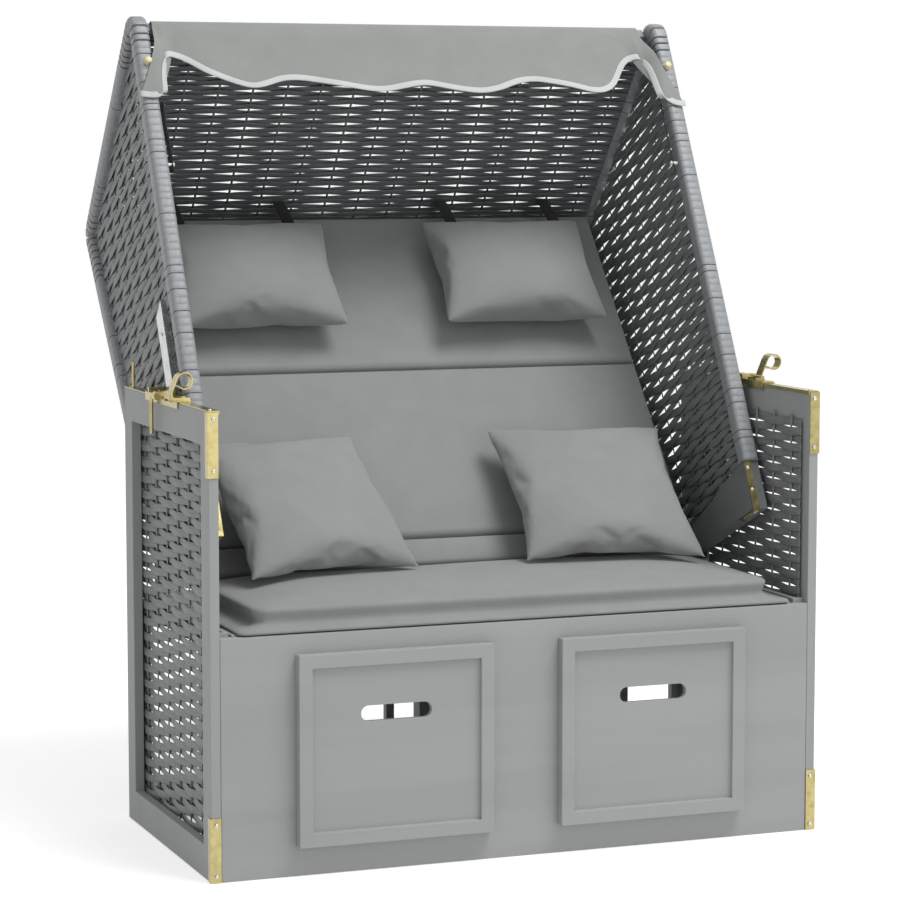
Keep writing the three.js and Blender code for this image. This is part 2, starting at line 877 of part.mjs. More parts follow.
const boardTop = footBoardHeight - footBoardDrop;
const rearFoot = onLine(backLine, 0);
const rearBoardTop = onLine(backLine, footBoardRearHeight);
const rearBoardInner = onLine(backLine, footBoardRearHeight, tubeDepth + seatedGap);
const boardCorners = [
  [-footBoardFront, -footBoardDrop],
  rearFoot,
  rearBoardTop,
  rearBoardInner,
  [-hoodFront + tubeDepth + seatedGap, boardTop],
  [-footBoardFront, boardTop],
];

function hoodSideFrame() {
  const shape = outline(rounded([
    [-hoodFront, boardTop + seatedGap],
    [-hoodFront + tubeDepth, boardTop + seatedGap],
    [...meet(frontLine, tubeDepth, roofLine, tubeDepth), tubeInnerRound],
    [...meet(roofLine, tubeDepth, backLine, tubeDepth), tubeInnerRound],
    onLine(backLine, footBoardRearHeight + seatedGap, tubeDepth),
    onLine(backLine, footBoardRearHeight + seatedGap),
    [...meet(roofLine, 0, backLine, 0), hoodCornerRadius],
    [...meet(frontLine, 0, roofLine, 0), hoodCornerRadius],
  ]));
  return acrossX(shape, hoodInner, hoodHalfWidth, tubeRound);
}

const sideWeaveX = hoodInner + tubeWidth / 2 - hoodWeaveThickness / 2 + weaveInset;

function hoodSideWeave() {
  const depth = tubeDepth + seatedGap;
  return acrossX(outline(rounded([
    [-hoodFront + depth, boardTop + seatedGap],
    onLine(backLine, footBoardRearHeight + seatedGap, depth),
    [...meet(roofLine, depth, backLine, depth), 2 * tubeInnerRound],
    [...meet(frontLine, depth, roofLine, depth), 2 * tubeInnerRound],
  ])), sideWeaveX, sideWeaveX + hoodWeaveThickness);
}

function footBoard() {
  const board = acrossX(outline(boardCorners), hoodInner, hoodHalfWidth);
  const hole = bar(studRadius + studClearance, 'x', hoodInner - overrun, hoodHalfWidth + overrun,
    [0, 0], 24);
  return cut(board, hole);
}

const roofStart = runOf(roofLine, meet(frontLine, tubeDepth, roofLine, tubeDepth));
const roofEnd = runOf(roofLine, meet(roofLine, tubeDepth, backLine, tubeDepth));
const backEnd = runOf(backLine, meet(roofLine, tubeDepth, backLine, tubeDepth));

// A flat piece between the hood's sides, along one of its lines.
const sheet = (line, from, to, outerDepth, innerDepth, half = hoodClear) => acrossX(outline([
  onLine(line, from, outerDepth), onLine(line, from, innerDepth),
  onLine(line, to, innerDepth), onLine(line, to, outerDepth),
]), -half, half);

const weaveOuterDepth = tubeDepth - sheetWeaveThickness;
const crossbarOuterDepth = weaveOuterDepth - seatedGap - crossbarDepth;
const crossbarInnerDepth = weaveOuterDepth - seatedGap;

function hoodCorner() {
  const gap = seatedGap;
  const slope = Math.atan2(footBoardDrop - hoodFootDrop, footBoardFront + hoodFootBack);
  const along = [Math.cos(slope), Math.sin(slope)];
  const down = [Math.sin(slope), -Math.cos(slope)];
  const corner = [-footBoardFront, -footBoardDrop];
  const at = (run, out) => [
    corner[0] + along[0] * run + down[0] * out,
    corner[1] + along[1] * run + down[1] * out,
  ];
  const thick = gap + hoodCornerThickness;
  return acrossX(outline([
    [corner[0] - gap, boardTop], [corner[0] - thick, boardTop],
    [corner[0] - thick, corner[1] - thick], at(0, thick), at(hoodCornerFoot, thick),
    at(hoodCornerFoot, gap), at(0, gap), [corner[0] - gap, corner[1] - gap],
  ]), hoodInner, hoodInner + hoodCornerWidth);
}

function guideBar() {
  const plateInner = hoodHalfWidth + sideClearance;
  const rear = -guideBarFront + guideBarWidth;
  const plate = acrossX(outline([
    [-guideBarFront, guideBarBottom], [rear, guideBarBottom], [rear, guideBarTop - guideBarMitre],
    [-guideBarFront, guideBarTop],
  ]), plateInner, plateInner + guideBarThickness);
  const flange = acrossX(outline([
    [-guideBarFront, guideBarBottom],
    [-guideBarFront + guideBarThickness, guideBarBottom],
    [-guideBarFront + guideBarThickness, guideBarTop - guideBarMitre / 4],
    [-guideBarFront, guideBarTop],
  ]), sideWeaveX + hoodWeaveThickness + seatedGap, plateInner + guideBarThickness);
  const spacers = [guideBarBottom + guideSpacerInset, guideBarTop - 2 * guideSpacerInset].map(
    (height) => bar(
      guideSpacerRadius,
      'x',
      sideWeaveX + hoodWeaveThickness + seatedGap,
      plateInner + guideBarThickness / 2,
      [-guideBarFront + guideBarWidth / 2, height],
    ),
  );
  return join(plate, flange, ...spacers);
}

placePair(hood, 'hood_side_frame', hoodSideFrame(), finishes.wrappedTube);
placePair(hood, 'hood_side_weave', hoodSideWeave(), finishes.strand);
place(hood, 'hood_roof_weave',
  sheet(roofLine, roofStart, roofEnd, weaveOuterDepth, tubeDepth), finishes.roofStrand);
place(hood, 'hood_back_weave',
  sheet(backLine, 0, backEnd, weaveOuterDepth, tubeDepth), finishes.strand);
place(hood, 'top_crossbar', sheet(roofLine, roofStart + seatedGap, roofStart + crossbarWidth,
  crossbarOuterDepth, crossbarInnerDepth), finishes.wrappedTube);
place(hood, 'rear_crossbar', sheet(roofLine, roofEnd - crossbarWidth, roofEnd,
  crossbarOuterDepth, crossbarInnerDepth), finishes.paintedWood);
place(hood, 'bottom_crossbar', sheet(backLine, 0, crossbarWidth,
  crossbarOuterDepth, crossbarInnerDepth), finishes.paintedWood);
placePair(hood, 'hood_foot_board', footBoard(), finishes.darkWood);
placePair(hood, 'hood_corner', hoodCorner(), finishes.brass);
placePair(hood, 'guide_bar', guideBar(), finishes.brass);

// Soft pieces

// A closed skin from an upper and a lower height over a grid whose border both share.
function cushionForm(columns, rows, point) {
  const positions = [];
  const upper = [];
  const lower = [];
  const add = (vector) => positions.push(...vector) / 3 - 1;
  for (let row = 0; row <= rows; row += 1) {
    for (let column = 0; column <= columns; column += 1) {
      const u = 2 * column / columns - 1;
      const v = 2 * row / rows - 1;
      const border = row === 0 || column === 0 || row === rows || column === columns;
      const top = add(point(u, v, 1));
      upper.push(top);
      lower.push(border ? top : add(point(u, v, -1)));
    }
  }
  const index = [];
  const at = (grid, row, column) => grid[row * (columns + 1) + column];
  for (let row = 0; row < rows; row += 1) {
    for (let column = 0; column < columns; column += 1) {
      const corners = [[row, column], [row, column + 1], [row + 1, column + 1], [row + 1, column]];
      const [a, b, c, d] = corners.map(([r, k]) => at(upper, r, k));
      const [e, f, g, h] = corners.map(([r, k]) => at(lower, r, k));
      const even = (column < columns / 2) === (row < rows / 2);
      if (even) {
        index.push(a, b, d, b, c, d, e, h, f, f, h, g);
      } else {
        index.push(a, b, c, a, c, d, e, g, f, e, h, g);
      }
    }
  }
  const geometry = new THREE.BufferGeometry();
  geometry.setAttribute('position', new THREE.Float32BufferAttribute(positions, 3));
  geometry.setIndex(index);
  geometry.computeVertexNormals();
  return geometry;
}

// A plump pillow: its outline is drawn in between the corners and its face swells to a crown.
// Local x is its width, y its height from the bottom seam, z its thickness. The share keeps the
// back from swelling below the bottom seam of a pillow that stands on that seam.
function pillow(width, height, thickness, cells, sitShare = Infinity) {
  const spread = (value) => Math.sin(value * Math.PI / 2);
  return cushionForm(cells, cells, (a, b, face) => {
    const u = spread(a);
    const v = spread(b);
    const x = u * (width / 2 - pillowPinch * (1 - v * v) * u * u);
    const y = v * (height / 2 - pillowPinch * (1 - u * u) * v * v) + height / 2;
    const swell = ((1 - u ** 2) * (1 - v ** 2)) ** 0.5 * thickness / 2;
    return [x, y, face > 0 ? swell : -Math.min(swell, y * sitShare)];
  });
}

// Rings of a rounded rectangle, stacked and closed by a fan at each end.
function stackedForm(rings, steps) {
  const positions = [];
  const count = 4 * steps;
  const centreOf = (ring) => [0, (ring.y0 + ring.y1) / 2, ring.z];
  rings.forEach((ring) => {
    const corners = [[1, -1], [1, 1], [-1, 1], [-1, -1]];
    corners.forEach(([sx, sy], quarter) => {
      for (let step = 0; step < steps; step += 1) {
        const angle = -90 + quarter * 90 + step * 90 / (steps - 1);
        const cx = sx * (ring.half - ring.radius);
        const cy = sy > 0 ? ring.y1 - ring.radius : ring.y0 + ring.radius;
        positions.push(cx + ring.radius * cos(angle), cy + ring.radius * sin(angle), ring.z);
      }
    });
  });
  const index = [];
  for (let level = 0; level < rings.length - 1; level += 1) {
    for (let step = 0; step < count; step += 1) {
      const next = (step + 1) % count;
      const a = level * count + step;
      const b = level * count + next;
      const c = (level + 1) * count + next;
      const d = (level + 1) * count + step;
      index.push(a, b, c, a, c, d);
    }
  }
  const bottom = positions.length / 3;
  positions.push(...centreOf(rings[0]));
  const top = bottom + 1;
  positions.push(...centreOf(rings.at(-1)));
  const last = (rings.length - 1) * count;
  for (let step = 0; step < count; step += 1) {
    const next = (step + 1) % count;
    index.push(bottom, next, step, top, last + step, last + next);
  }
  const geometry = new THREE.BufferGeometry();
  geometry.setAttribute('position', new THREE.Float32BufferAttribute(positions, 3));
  geometry.setIndex(index);
  geometry.computeVertexNormals();
  return geometry;
}

const cushionLow = Math.max(deckTop, frontBoardHeight) + seatedGap;
const seatTop = cushionLow + cushionHeight + cushionCrown;

// The seat cushion: a flange at its foot, sides drawn in above it, a rim and a low crown.
function seatCushion() {
  const rim = cushionLow + cushionHeight;
  const waist = cushionLow + cushionHeight * 0.4;
  const ringAt = (z, side, front, radius) => ({
    z,
    half: cushionHalfWidth - side,
    y0: frontY + front,
    y1: frontY + cushionDepth - front / 2,
    radius,
  });
  const rings = [
    ringAt(cushionLow, cushionWaist, cushionWaist, cushionCorner / 2),
    ringAt(cushionLow + cushionFlange / 2, 0, 0, cushionCorner / 2),
    ringAt(cushionLow + cushionFlange, cushionRimInset * 0.45, cushionFrontRun * 0.4, cushionCorner / 2),
    ringAt(waist, cushionRimInset + cushionWaist, cushionFrontRun + cushionWaist, cushionCorner),
    ringAt(rim - cushionFlange, cushionRimInset, cushionFrontRun, cushionCorner),
    ringAt(rim, cushionRimInset + cushionFlange, cushionFrontRun + cushionFlange, cushionCorner),
  ];
  const crownShares = [0.12, 0.3, 0.6, 1];
  crownShares.forEach((share) => {
    const inset = share * cushionDepth / 2;
    rings.push(ringAt(
      rim + cushionCrown * Math.sin(share * Math.PI / 2),
      cushionRimInset + cushionFlange + inset,
      cushionFrontRun + cushionFlange + inset * 0.7,
      cushionCorner,
    ));
  });
  return stackedForm(rings, 6);
}

// A backrest pad between two runs along the back, crowned in front and flat behind.
function backrestPad(from, to) {
  const half = (to - from) / 2;
  const middle = (to + from) / 2;
  const back = tubeDepth + seatedGap;
  const full = padFace - padCrown - back;
  return cushionForm(24, 10, (a, b, face) => {
    const u = Math.sign(a) * (1 - (1 - Math.abs(a)) ** 2);
    const v = Math.sign(b) * (1 - (1 - Math.abs(b)) ** 1.6);
    const inset = Math.min((1 - Math.abs(u)) * padHalfWidth, (1 - Math.abs(v)) * half);
    const share = Math.min(1, inset / padEdge);
    const round = Math.sqrt(share * (2 - share));
    const front = full / 2 * (1 + round) + padCrown * (1 - u * u) * (1 - v * v);
    const rise = face > 0 ? front : full / 2 * (1 - round);
    const [y, z] = onLine(backLine, middle + v * half, back + rise);
    return [u * padHalfWidth, y, z];
  });
}

const padTop = backEnd - seatedGap;
place(chair, 'seat_cushion', seatCushion(), finishes.fabric);
place(hood, 'backrest_pad_lower', backrestPad(padLow, padFirstSeam), finishes.fabric);
place(hood, 'backrest_pad_middle',
  backrestPad(padFirstSeam + padSeam, padSecondSeam), finishes.fabric);
place(hood, 'backrest_pad_upper', backrestPad(padSecondSeam + padSeam, padTop), finishes.fabric);

const neckDepth = padFace - neckSettle + seatedGap + neckPillowThickness / 2;

// A strap from a neck pillow's top seam up to the roof, at a place across the pillow.
function neckStrap(centre, offset) {
  const share = offset / (neckPillowWidth / 2);
  const seam = neckPillowHeight - pillowPinch * (1 - share * share);
  const low = onLine(backLine, neckPillowLow + seam + strapThickness, neckDepth);
  const high = meet(
    roofLine,
    tubeDepth + strapThickness,
    backLine,
    (padFace + neckDepth) / 2,
  );
  const x = centre + offset;
  return acrossX(ribbon([low, high], strapThickness), x - strapWidth / 2, x + strapWidth / 2);
}

[['left', -1], ['right', 1]].forEach(([name, side]) => {
  const centre = side * neckPillowOffset;
  const neck = place(hood, `neck_pillow_${name}`,
    pillow(neckPillowWidth, neckPillowHeight, neckPillowThickness, 14), finishes.fabric);
  neck.position.set(centre, ...onLine(backLine, neckPillowLow, neckDepth));
  neck.rotation.x = radians(90 - backLean);
  place(hood, `neck_strap_${name}_inner`,
    neckStrap(centre, -side * strapInnerOffset), finishes.webbing);
  place(hood, `neck_strap_${name}_outer`,
    neckStrap(centre, side * strapOuterOffset), finishes.webbing);

  const turn = new THREE.Group();
  turn.position.set(side * scatterOffset, frontY + scatterSetback, seatTop + seatedGap);
  turn.rotation.z = radians(-side * scatterYaw);
  chair.add(turn);
  const scatter = place(turn, `scatter_pillow_${name}`,
    pillow(scatterWidth, scatterHeight, scatterThickness, 14, scatterSitShare), finishes.fabric);
  scatter.rotation.x = radians(90 - scatterRecline);
});

// The awning hangs from the top crossbar between the front bars. Its hem is scalloped, rises in
// an arch at each side and drops in a narrow flap beside the bar.

const roofEdgeY = meet(frontLine, tubeDepth, roofLine, tubeDepth)[0];
const crossbarTopZ = onLine(roofLine, roofStart, crossbarOuterDepth)[1];
const awningTopY = roofEdgeY - awningThickness / 2 - seatedGap;

function awningHem(x) {
  const side = Math.abs(x);
  if (side > awningArchCentre + awningArchHalf - seatedGap) {
    return -awningFlapDrop;
  }
  if (side > awningArchCentre - awningArchHalf) {
    const reach = (side - awningArchCentre) / awningArchHalf;
    return -awningDrop - awningScallop + awningArchRise * (1 - reach * reach);
  }
  return -awningDrop + awningScallop * Math.cos(2 * Math.PI * x / awningScallopPitch);
}

function awning() {
  return cushionForm(48, 8, (a, b, face) => {
    const drop = (1 - b) / 2;
    const x = a * (awningTopHalfWidth + (awningHalfWidth - awningTopHalfWidth) * drop);
    const z = crossbarTopZ + awningHem(a * awningHalfWidth) * drop;
    const fold = awningFold * drop ** 2 * Math.cos(2 * Math.PI * x / awningScallopPitch);
    const y = awningTopY - awningBelly * drop ** 2 + fold;
    const half = Math.abs(a) < 1 && drop > 0 && drop < 1 ? awningThickness / 2 : 0;
    return [x, y - face * half, z];
  });
}

function awningStrap() {
  const high = crossbarTopZ - awningFlapDrop - seatedGap;
  const low = high - elasticLength;
  const y = awningTopY - awningBelly;
  const strap = block(
    [awningHalfWidth - elasticThickness / 2, y - elasticWidth / 2, low],
    [awningHalfWidth + elasticThickness / 2, y + elasticWidth / 2, high],
  );
  const peg = bar(pegRadius, 'x', awningHalfWidth - pegLength / 2, hoodClear, [y, low], 12);
  return join(strap, peg);
}

place(hood, 'awning', awning(), finishes.fabric);
placePair(hood, 'awning_strap', awningStrap(), finishes.cord);

export default chair;
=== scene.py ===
"""The looks of a two-seat hooded beach chair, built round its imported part.

The wooden base, the metal fittings and the boards keep the part's own solids and get their
finishes here. The woven panels, the wrapped hood bars, the cushions and the awning are built
here and stand for the part's plain solids. Sizes are in millimetres until a mesh is made.
"""

import logging
import math
from collections.abc import Callable, Iterable, Sequence
from dataclasses import dataclass, field
from enum import Enum

import bpy
import numpy as np
from mathutils import Matrix, Vector


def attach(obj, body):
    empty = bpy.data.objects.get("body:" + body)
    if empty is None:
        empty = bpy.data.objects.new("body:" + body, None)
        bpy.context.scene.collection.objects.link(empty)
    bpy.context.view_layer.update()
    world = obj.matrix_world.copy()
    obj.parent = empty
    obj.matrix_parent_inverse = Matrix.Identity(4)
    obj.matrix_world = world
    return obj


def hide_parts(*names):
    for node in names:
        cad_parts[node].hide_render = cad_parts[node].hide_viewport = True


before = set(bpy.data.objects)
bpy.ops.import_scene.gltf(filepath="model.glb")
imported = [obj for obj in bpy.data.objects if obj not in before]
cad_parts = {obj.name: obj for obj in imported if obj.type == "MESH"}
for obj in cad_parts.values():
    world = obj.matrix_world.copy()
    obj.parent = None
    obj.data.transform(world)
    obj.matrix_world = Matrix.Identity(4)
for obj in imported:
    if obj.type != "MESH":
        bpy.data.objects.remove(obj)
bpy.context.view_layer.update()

log = logging.getLogger("beach_chair")

MM = 0.001
Point = tuple[float, float]
Place = tuple[float, float, float]


class Side(Enum):
    """The two sides of the chair as seen from the front."""

    LEFT = -1
    RIGHT = 1

    @property
    def word(self) -> str:
        """The side's word in the names of the part's nodes."""
        return self.name.lower()


class Grain(Enum):
    """The way that the grain of a painted board runs: the stretch of its pattern on X, Y, Z."""

    ALONG_X = (0.06, 1.0, 1.0)
    ALONG_Y = (1.0, 0.06, 1.0)
    ALONG_Z = (1.0, 1.0, 0.06)


def linear(code: str) -> tuple[float, float, float, float]:
    """Turns an sRGB hex value into the linear colour that a socket takes.

    Args:
        code: a colour such as "#9a9b9c".

    Returns:
        Red, green, blue and alpha, each from 0 to 1.
    """
    parts = [int(code[i : i + 2], 16) / 255 for i in (1, 3, 5)]
    flat = [c / 12.92 if c <= 0.04045 else ((c + 0.055) / 1.055) ** 2.4 for c in parts]
    return (*flat, 1.0)


def add_node(
    tree: bpy.types.NodeTree,
    kind: str,
    settings: dict | None = None,
    links: dict | None = None,
) -> bpy.types.Node:
    """Adds a node to a tree.

    Args:
        tree: the node tree.
        kind: the node's type.
        settings: values by the name or number of an input, or by the name of a property.
        links: output sockets by the name or number of the input that they feed.

    Returns:
        The new node.
    """
    node = tree.nodes.new(kind)
    for key, value in (settings or {}).items():
        if isinstance(key, int) or key in node.inputs:
            node.inputs[key].default_value = value
        else:
            setattr(node, key, value)
    for key, socket in (links or {}).items():
        tree.links.new(socket, node.inputs[key])
    return node


@dataclass(frozen=True)
class Finish:
    """What every finish shares: a name, a colour and how rough it is.

    Attributes:
        name: the material's name.
        colour: its main colour, an sRGB hex value.
        shade: the colour of its darker places.
        roughness: how matt it is, from 0 to 1.
        slot: the record's material slot, or an empty word. It is not used.
        turn: how far the pattern lies turned about the piece's own Z, in degrees.
    """

    name: str
    colour: str
    shade: str
    roughness: float
    slot: str = ""
    turn: float = 0.0

    def material(self) -> bpy.types.Material:
        """Makes the finish's material the first time, and gives the same one after that.

        Returns:
            The material.
        """
        found = bpy.data.materials.get(self.name)
        if found:
            return found
        made = bpy.data.materials.new(self.name)
        made.use_nodes = True
        tree = made.node_tree
        shader = tree.nodes["Principled BSDF"]
        shader.inputs["Base Color"].default_value = linear(self.colour)
        shader.inputs["Roughness"].default_value = self.roughness
        self.dress(tree, shader)
        made.diffuse_color = linear(self.colour)
        return made

    def dress(self, tree: bpy.types.NodeTree, shader: bpy.types.Node) -> None:
        """Adds the finish's own nodes. Each finish has its own way.

        Args:
            tree: the material's tree.
            shader: its main shader.
        """

    def pattern_place(self, tree: bpy.types.NodeTree) -> bpy.types.NodeSocket:
        """The piece's own coordinates, turned to where its pattern runs.

        Args:
            tree: the material's tree.

        Returns:
            The coordinates.
        """
        own = add_node(tree, "ShaderNodeTexCoord").outputs["Object"]
        if not self.turn:
            return own
        turned = add_node(
            tree,
            "ShaderNodeVectorRotate",
            {"rotation_type": "Z_AXIS", "Angle": math.radians(self.turn)},
            {"Vector": own},
        )
        return turned.outputs["Vector"]

    def spots(
        self,
        tree: bpy.types.NodeTree,
        size: float,
        stretch: Place = (1.0, 1.0, 1.0),
        detail: float = 3.0,
    ) -> bpy.types.NodeSocket:
        """Noise with spots of a real size, in the piece's own coordinates.

        Args:
            tree: the material's tree.
            size: the size of a spot in millimetres.
            stretch: what the coordinates are multiplied by, below 1 for a long pattern.
            detail: how many finer layers it has.

        Returns:
            The noise's factor.
        """
        mapped = add_node(
            tree,
            "ShaderNodeMapping",
            {"Scale": stretch},
            {"Vector": self.pattern_place(tree)},
        )
        noise = add_node(
            tree,
            "ShaderNodeTexNoise",
            {"Scale": 1 / (size * MM), "Detail": detail, "Roughness": 0.55},
            {"Vector": mapped.outputs["Vector"]},
        )
        return noise.outputs["Fac"]

    def lines(
        self,
        tree: bpy.types.NodeTree,
        pitch: float,
        axis: str,
        waver: float = 0.0,
    ) -> bpy.types.NodeSocket:
        """Even ridges a real pitch apart, in the piece's own coordinates.

        Args:
            tree: the material's tree.
            pitch: from one ridge to the next in millimetres.
            axis: the axis that the ridges follow each other along: X, Y or Z.
            waver: how far the ridges stray.

        Returns:
            The ridges' height.
        """
        wave = add_node(
            tree,
            "ShaderNodeTexWave",
            {
                "bands_direction": axis,
                # A wave of scale 1 has a ridge each pi / 10 of a metre.
                "Scale": math.pi / 10 / (pitch * MM),
                "Distortion": waver,
                "Detail": 1.0,
            },
            {"Vector": self.pattern_place(tree)},
        )
        return wave.outputs["Fac"]

    def between(
        self,
        tree: bpy.types.NodeTree,
        factor: bpy.types.NodeSocket,
        low: float,
        high: float,
        first: str,
        second: str,
    ) -> bpy.types.NodeSocket:
        """A colour that runs from one to another as a factor runs between two values.

        Args:
            tree: the material's tree.
            factor: the factor.
            low: the factor at the first colour.
            high: the factor at the second colour.
            first: the first colour.
            second: the second colour.

        Returns:
            The colour.
        """
        ramp = add_node(tree, "ShaderNodeValToRGB", links={"Fac": factor})
        start, end = ramp.color_ramp.elements
        start.position, end.position = low, high
        start.color, end.color = linear(first), linear(second)
        return ramp.outputs["Color"]

    def raise_by(
        self,
        tree: bpy.types.NodeTree,
        shader: bpy.types.Node,
        height: bpy.types.NodeSocket,
        distance: float,
        strength: float,
    ) -> None:
        """Lets a height raise the surface, on top of what already raises it.

        Args:
            tree: the material's tree.
            shader: the main shader.
            height: the height, from 0 to 1.
            distance: how high the pattern stands in millimetres.
            strength: the share of it that shows.
        """
        links = {"Height": height}
        normal = shader.inputs["Normal"]
        if normal.is_linked:
            links["Normal"] = normal.links[0].from_socket
        bump = add_node(
            tree,
            "ShaderNodeBump",
            {"Distance": distance * MM, "Strength": strength},
            links,
        )
        tree.links.new(bump.outputs["Normal"], normal)


@dataclass(frozen=True)
class PaintedFir(Finish):
    """Sawn and planed fir boards under two coats of satin grey paint.

    The paint hides the colour of the wood but not all of its grain, so the board is an even
    grey with long faint lines that catch the light, and slightly paler worn places.
    """

    name: str = "satin_painted_fir"
    colour: str = "#a2a4a4"
    shade: str = "#9c9e9e"
    roughness: float = 0.55
    slot: str = "painted_wood"
    grain: Grain = Grain.ALONG_X

    def dress(self, tree: bpy.types.NodeTree, shader: bpy.types.Node) -> None:
        """Long grain of about 5 mm and broad uneven places of about 90 mm."""
        grain = self.spots(tree, 5.0, self.grain.value, 4.0)
        cloud = self.spots(tree, 90.0, self.grain.value, 2.0)
        tint = self.between(tree, cloud, 0.35, 0.65, self.shade, self.colour)
        tree.links.new(tint, shader.inputs["Base Color"])
        matt = add_node(
            tree,
            "ShaderNodeMapRange",
            {"To Min": self.roughness - 0.06, "To Max": self.roughness + 0.08},
            {"Value": grain},
        )
        tree.links.new(matt.outputs["Result"], shader.inputs["Roughness"])
        shader.inputs["Specular IOR Level"].default_value = 0.35
        self.raise_by(tree, shader, grain, 0.35, 0.3)


@dataclass(frozen=True)
class WovenStrand(Finish):
    """Flat extruded polyethylene strand, woven on stakes.

    The extruder leaves fine grooves along the strand and a satin skin, so a strand shows thin
    streaks and a soft broad highlight. The real grooves are 0.8 mm apart, which is too fine to
    show, so they are drawn 2.6 mm apart.
    """

    name: str = "extruded_polyethylene_strand"
    colour: str = "#7f8182"
    shade: str = "#696c6d"
    roughness: float = 0.48
    slot: str = "strand"
    groove: float = 2.6

    def dress(self, tree: bpy.types.NodeTree, shader: bpy.types.Node) -> None:
        """Grooves along the strand, and streaks of a slightly other grey."""
        streaks = self.spots(tree, 3.0, (0.05, 1.0, 1.0), 2.0)
        tint = self.between(tree, streaks, 0.3, 0.65, self.shade, self.colour)
        tree.links.new(tint, shader.inputs["Base Color"])
        shader.inputs["IOR"].default_value = 1.51
        self.raise_by(tree, shader, self.lines(tree, self.groove, "Y", 0.4), 0.25, 0.35)
        self.raise_by(tree, shader, streaks, 0.3, 0.25)


@dataclass(frozen=True)
class WrappedStrand(Finish):
    """The same strand in a paler grey, wound round an aluminium bar.

    Each turn lies flat and pulled tight, so the bar looks smooth and light, with mottling from
    the strand's skin, and the turns part in thin dark lines that are modelled.
    """

    name: str = "wound_polyethylene_strand"
    colour: str = "#8e9194"
    shade: str = "#828588"
    roughness: float = 0.42
    slot: str = "wrapped_tube"

    def dress(self, tree: bpy.types.NodeTree, shader: bpy.types.Node) -> None:
        """Mottling of about 7 mm, and a finer skin of 2.5 mm that only raises the surface."""
        mottle = self.spots(tree, 7.0, (1.0, 1.0, 1.0), 3.0)
        tint = self.between(tree, mottle, 0.3, 0.6, self.shade, self.colour)
        tree.links.new(tint, shader.inputs["Base Color"])
        shader.inputs["IOR"].default_value = 1.51
        self.raise_by(tree, shader, self.spots(tree, 2.5), 0.2, 0.25)


@dataclass(frozen=True)
class Plated(Finish):
    """Pressed steel under a bright or a dull plating.

    Plating takes every small unevenness of the pressed sheet, so its reflections are clear but
    slightly rippled, and handling leaves duller places.
    """

    name: str = "brass_plated_steel"
    colour: str = "#b8ac7a"
    shade: str = "#a39764"
    roughness: float = 0.2
    slot: str = "brass"

    def dress(self, tree: bpy.types.NodeTree, shader: bpy.types.Node) -> None:
        """Dull places of about 12 mm and ripples of 6 mm."""
        dull = self.spots(tree, 12.0, (1.0, 1.0, 1.0), 3.0)
        tint = self.between(tree, dull, 0.3, 0.6, self.shade, self.colour)
        tree.links.new(tint, shader.inputs["Base Color"])
        matt = add_node(
            tree,
            "ShaderNodeMapRange",
            {"To Min": self.roughness - 0.05, "To Max": self.roughness + 0.12},
            {"Value": dull},
        )
        tree.links.new(matt.outputs["Result"], shader.inputs["Roughness"])
        shader.inputs["Metallic"].default_value = 1.0
        self.raise_by(tree, shader, self.spots(tree, 6.0, detail=1.0), 0.15, 0.2)


@dataclass(frozen=True)
class WovenCloth(Finish):
    """Plain woven polyester cloth, dyed in the yarn.

    Cloth scatters light at its fuzzy threads, so it looks matt with a faint pale edge. The real
    threads are 0.5 mm apart, too fine to show, so they are drawn 1.6 mm apart and very low.
    """

    name: str = "polyester_cushion_cloth"
    colour: str = "#909391"
    shade: str = "#8c8f8d"
    roughness: float = 0.88
    slot: str = "cushion_fabric"
    thread: float = 1.6
    sheen: float = 0.25

    def dress(self, tree: bpy.types.NodeTree, shader: bpy.types.Node) -> None:
        """Threads both ways, and soft places of about 60 mm where the cloth is rubbed."""
        rubbed = self.spots(tree, 60.0, detail=2.0)
        tint = self.between(tree, rubbed, 0.35, 0.65, self.shade, self.colour)
        tree.links.new(tint, shader.inputs["Base Color"])
        shader.inputs["Sheen Weight"].default_value = self.sheen
        shader.inputs["Sheen Roughness"].default_value = 0.5
        shader.inputs["Specular IOR Level"].default_value = 0.25
        self.raise_by(tree, shader, self.lines(tree, self.thread, "X"), 0.1, 0.12)
        self.raise_by(tree, shader, self.lines(tree, self.thread, "Z"), 0.1, 0.12)
        self.raise_by(tree, shader, self.spots(tree, 25.0, detail=2.0), 0.6, 0.1)


@dataclass(frozen=True)
class MouldedNylon(Finish):
    """Injection-moulded nylon with a fine spark-eroded skin.

    It lets a little light in under its skin, so small parts look soft and slightly waxy.
    """

    name: str = "moulded_cream_nylon"
    colour: str = "#e2d8ae"
    shade: str = "#cfc493"
    roughness: float = 0.38

    def dress(self, tree: bpy.types.NodeTree, shader: bpy.types.Node) -> None:
        """A skin of 1.5 mm, and light that spreads by about a millimetre."""
        skin = self.spots(tree, 1.5)
        tint = self.between(tree, skin, 0.2, 0.6, self.shade, self.colour)
        tree.links.new(tint, shader.inputs["Base Color"])
        shader.inputs["Subsurface Weight"].default_value = 0.1
        shader.inputs["Subsurface Scale"].default_value = 1.2 * MM
        self.raise_by(tree, shader, skin, 0.1, 0.2)


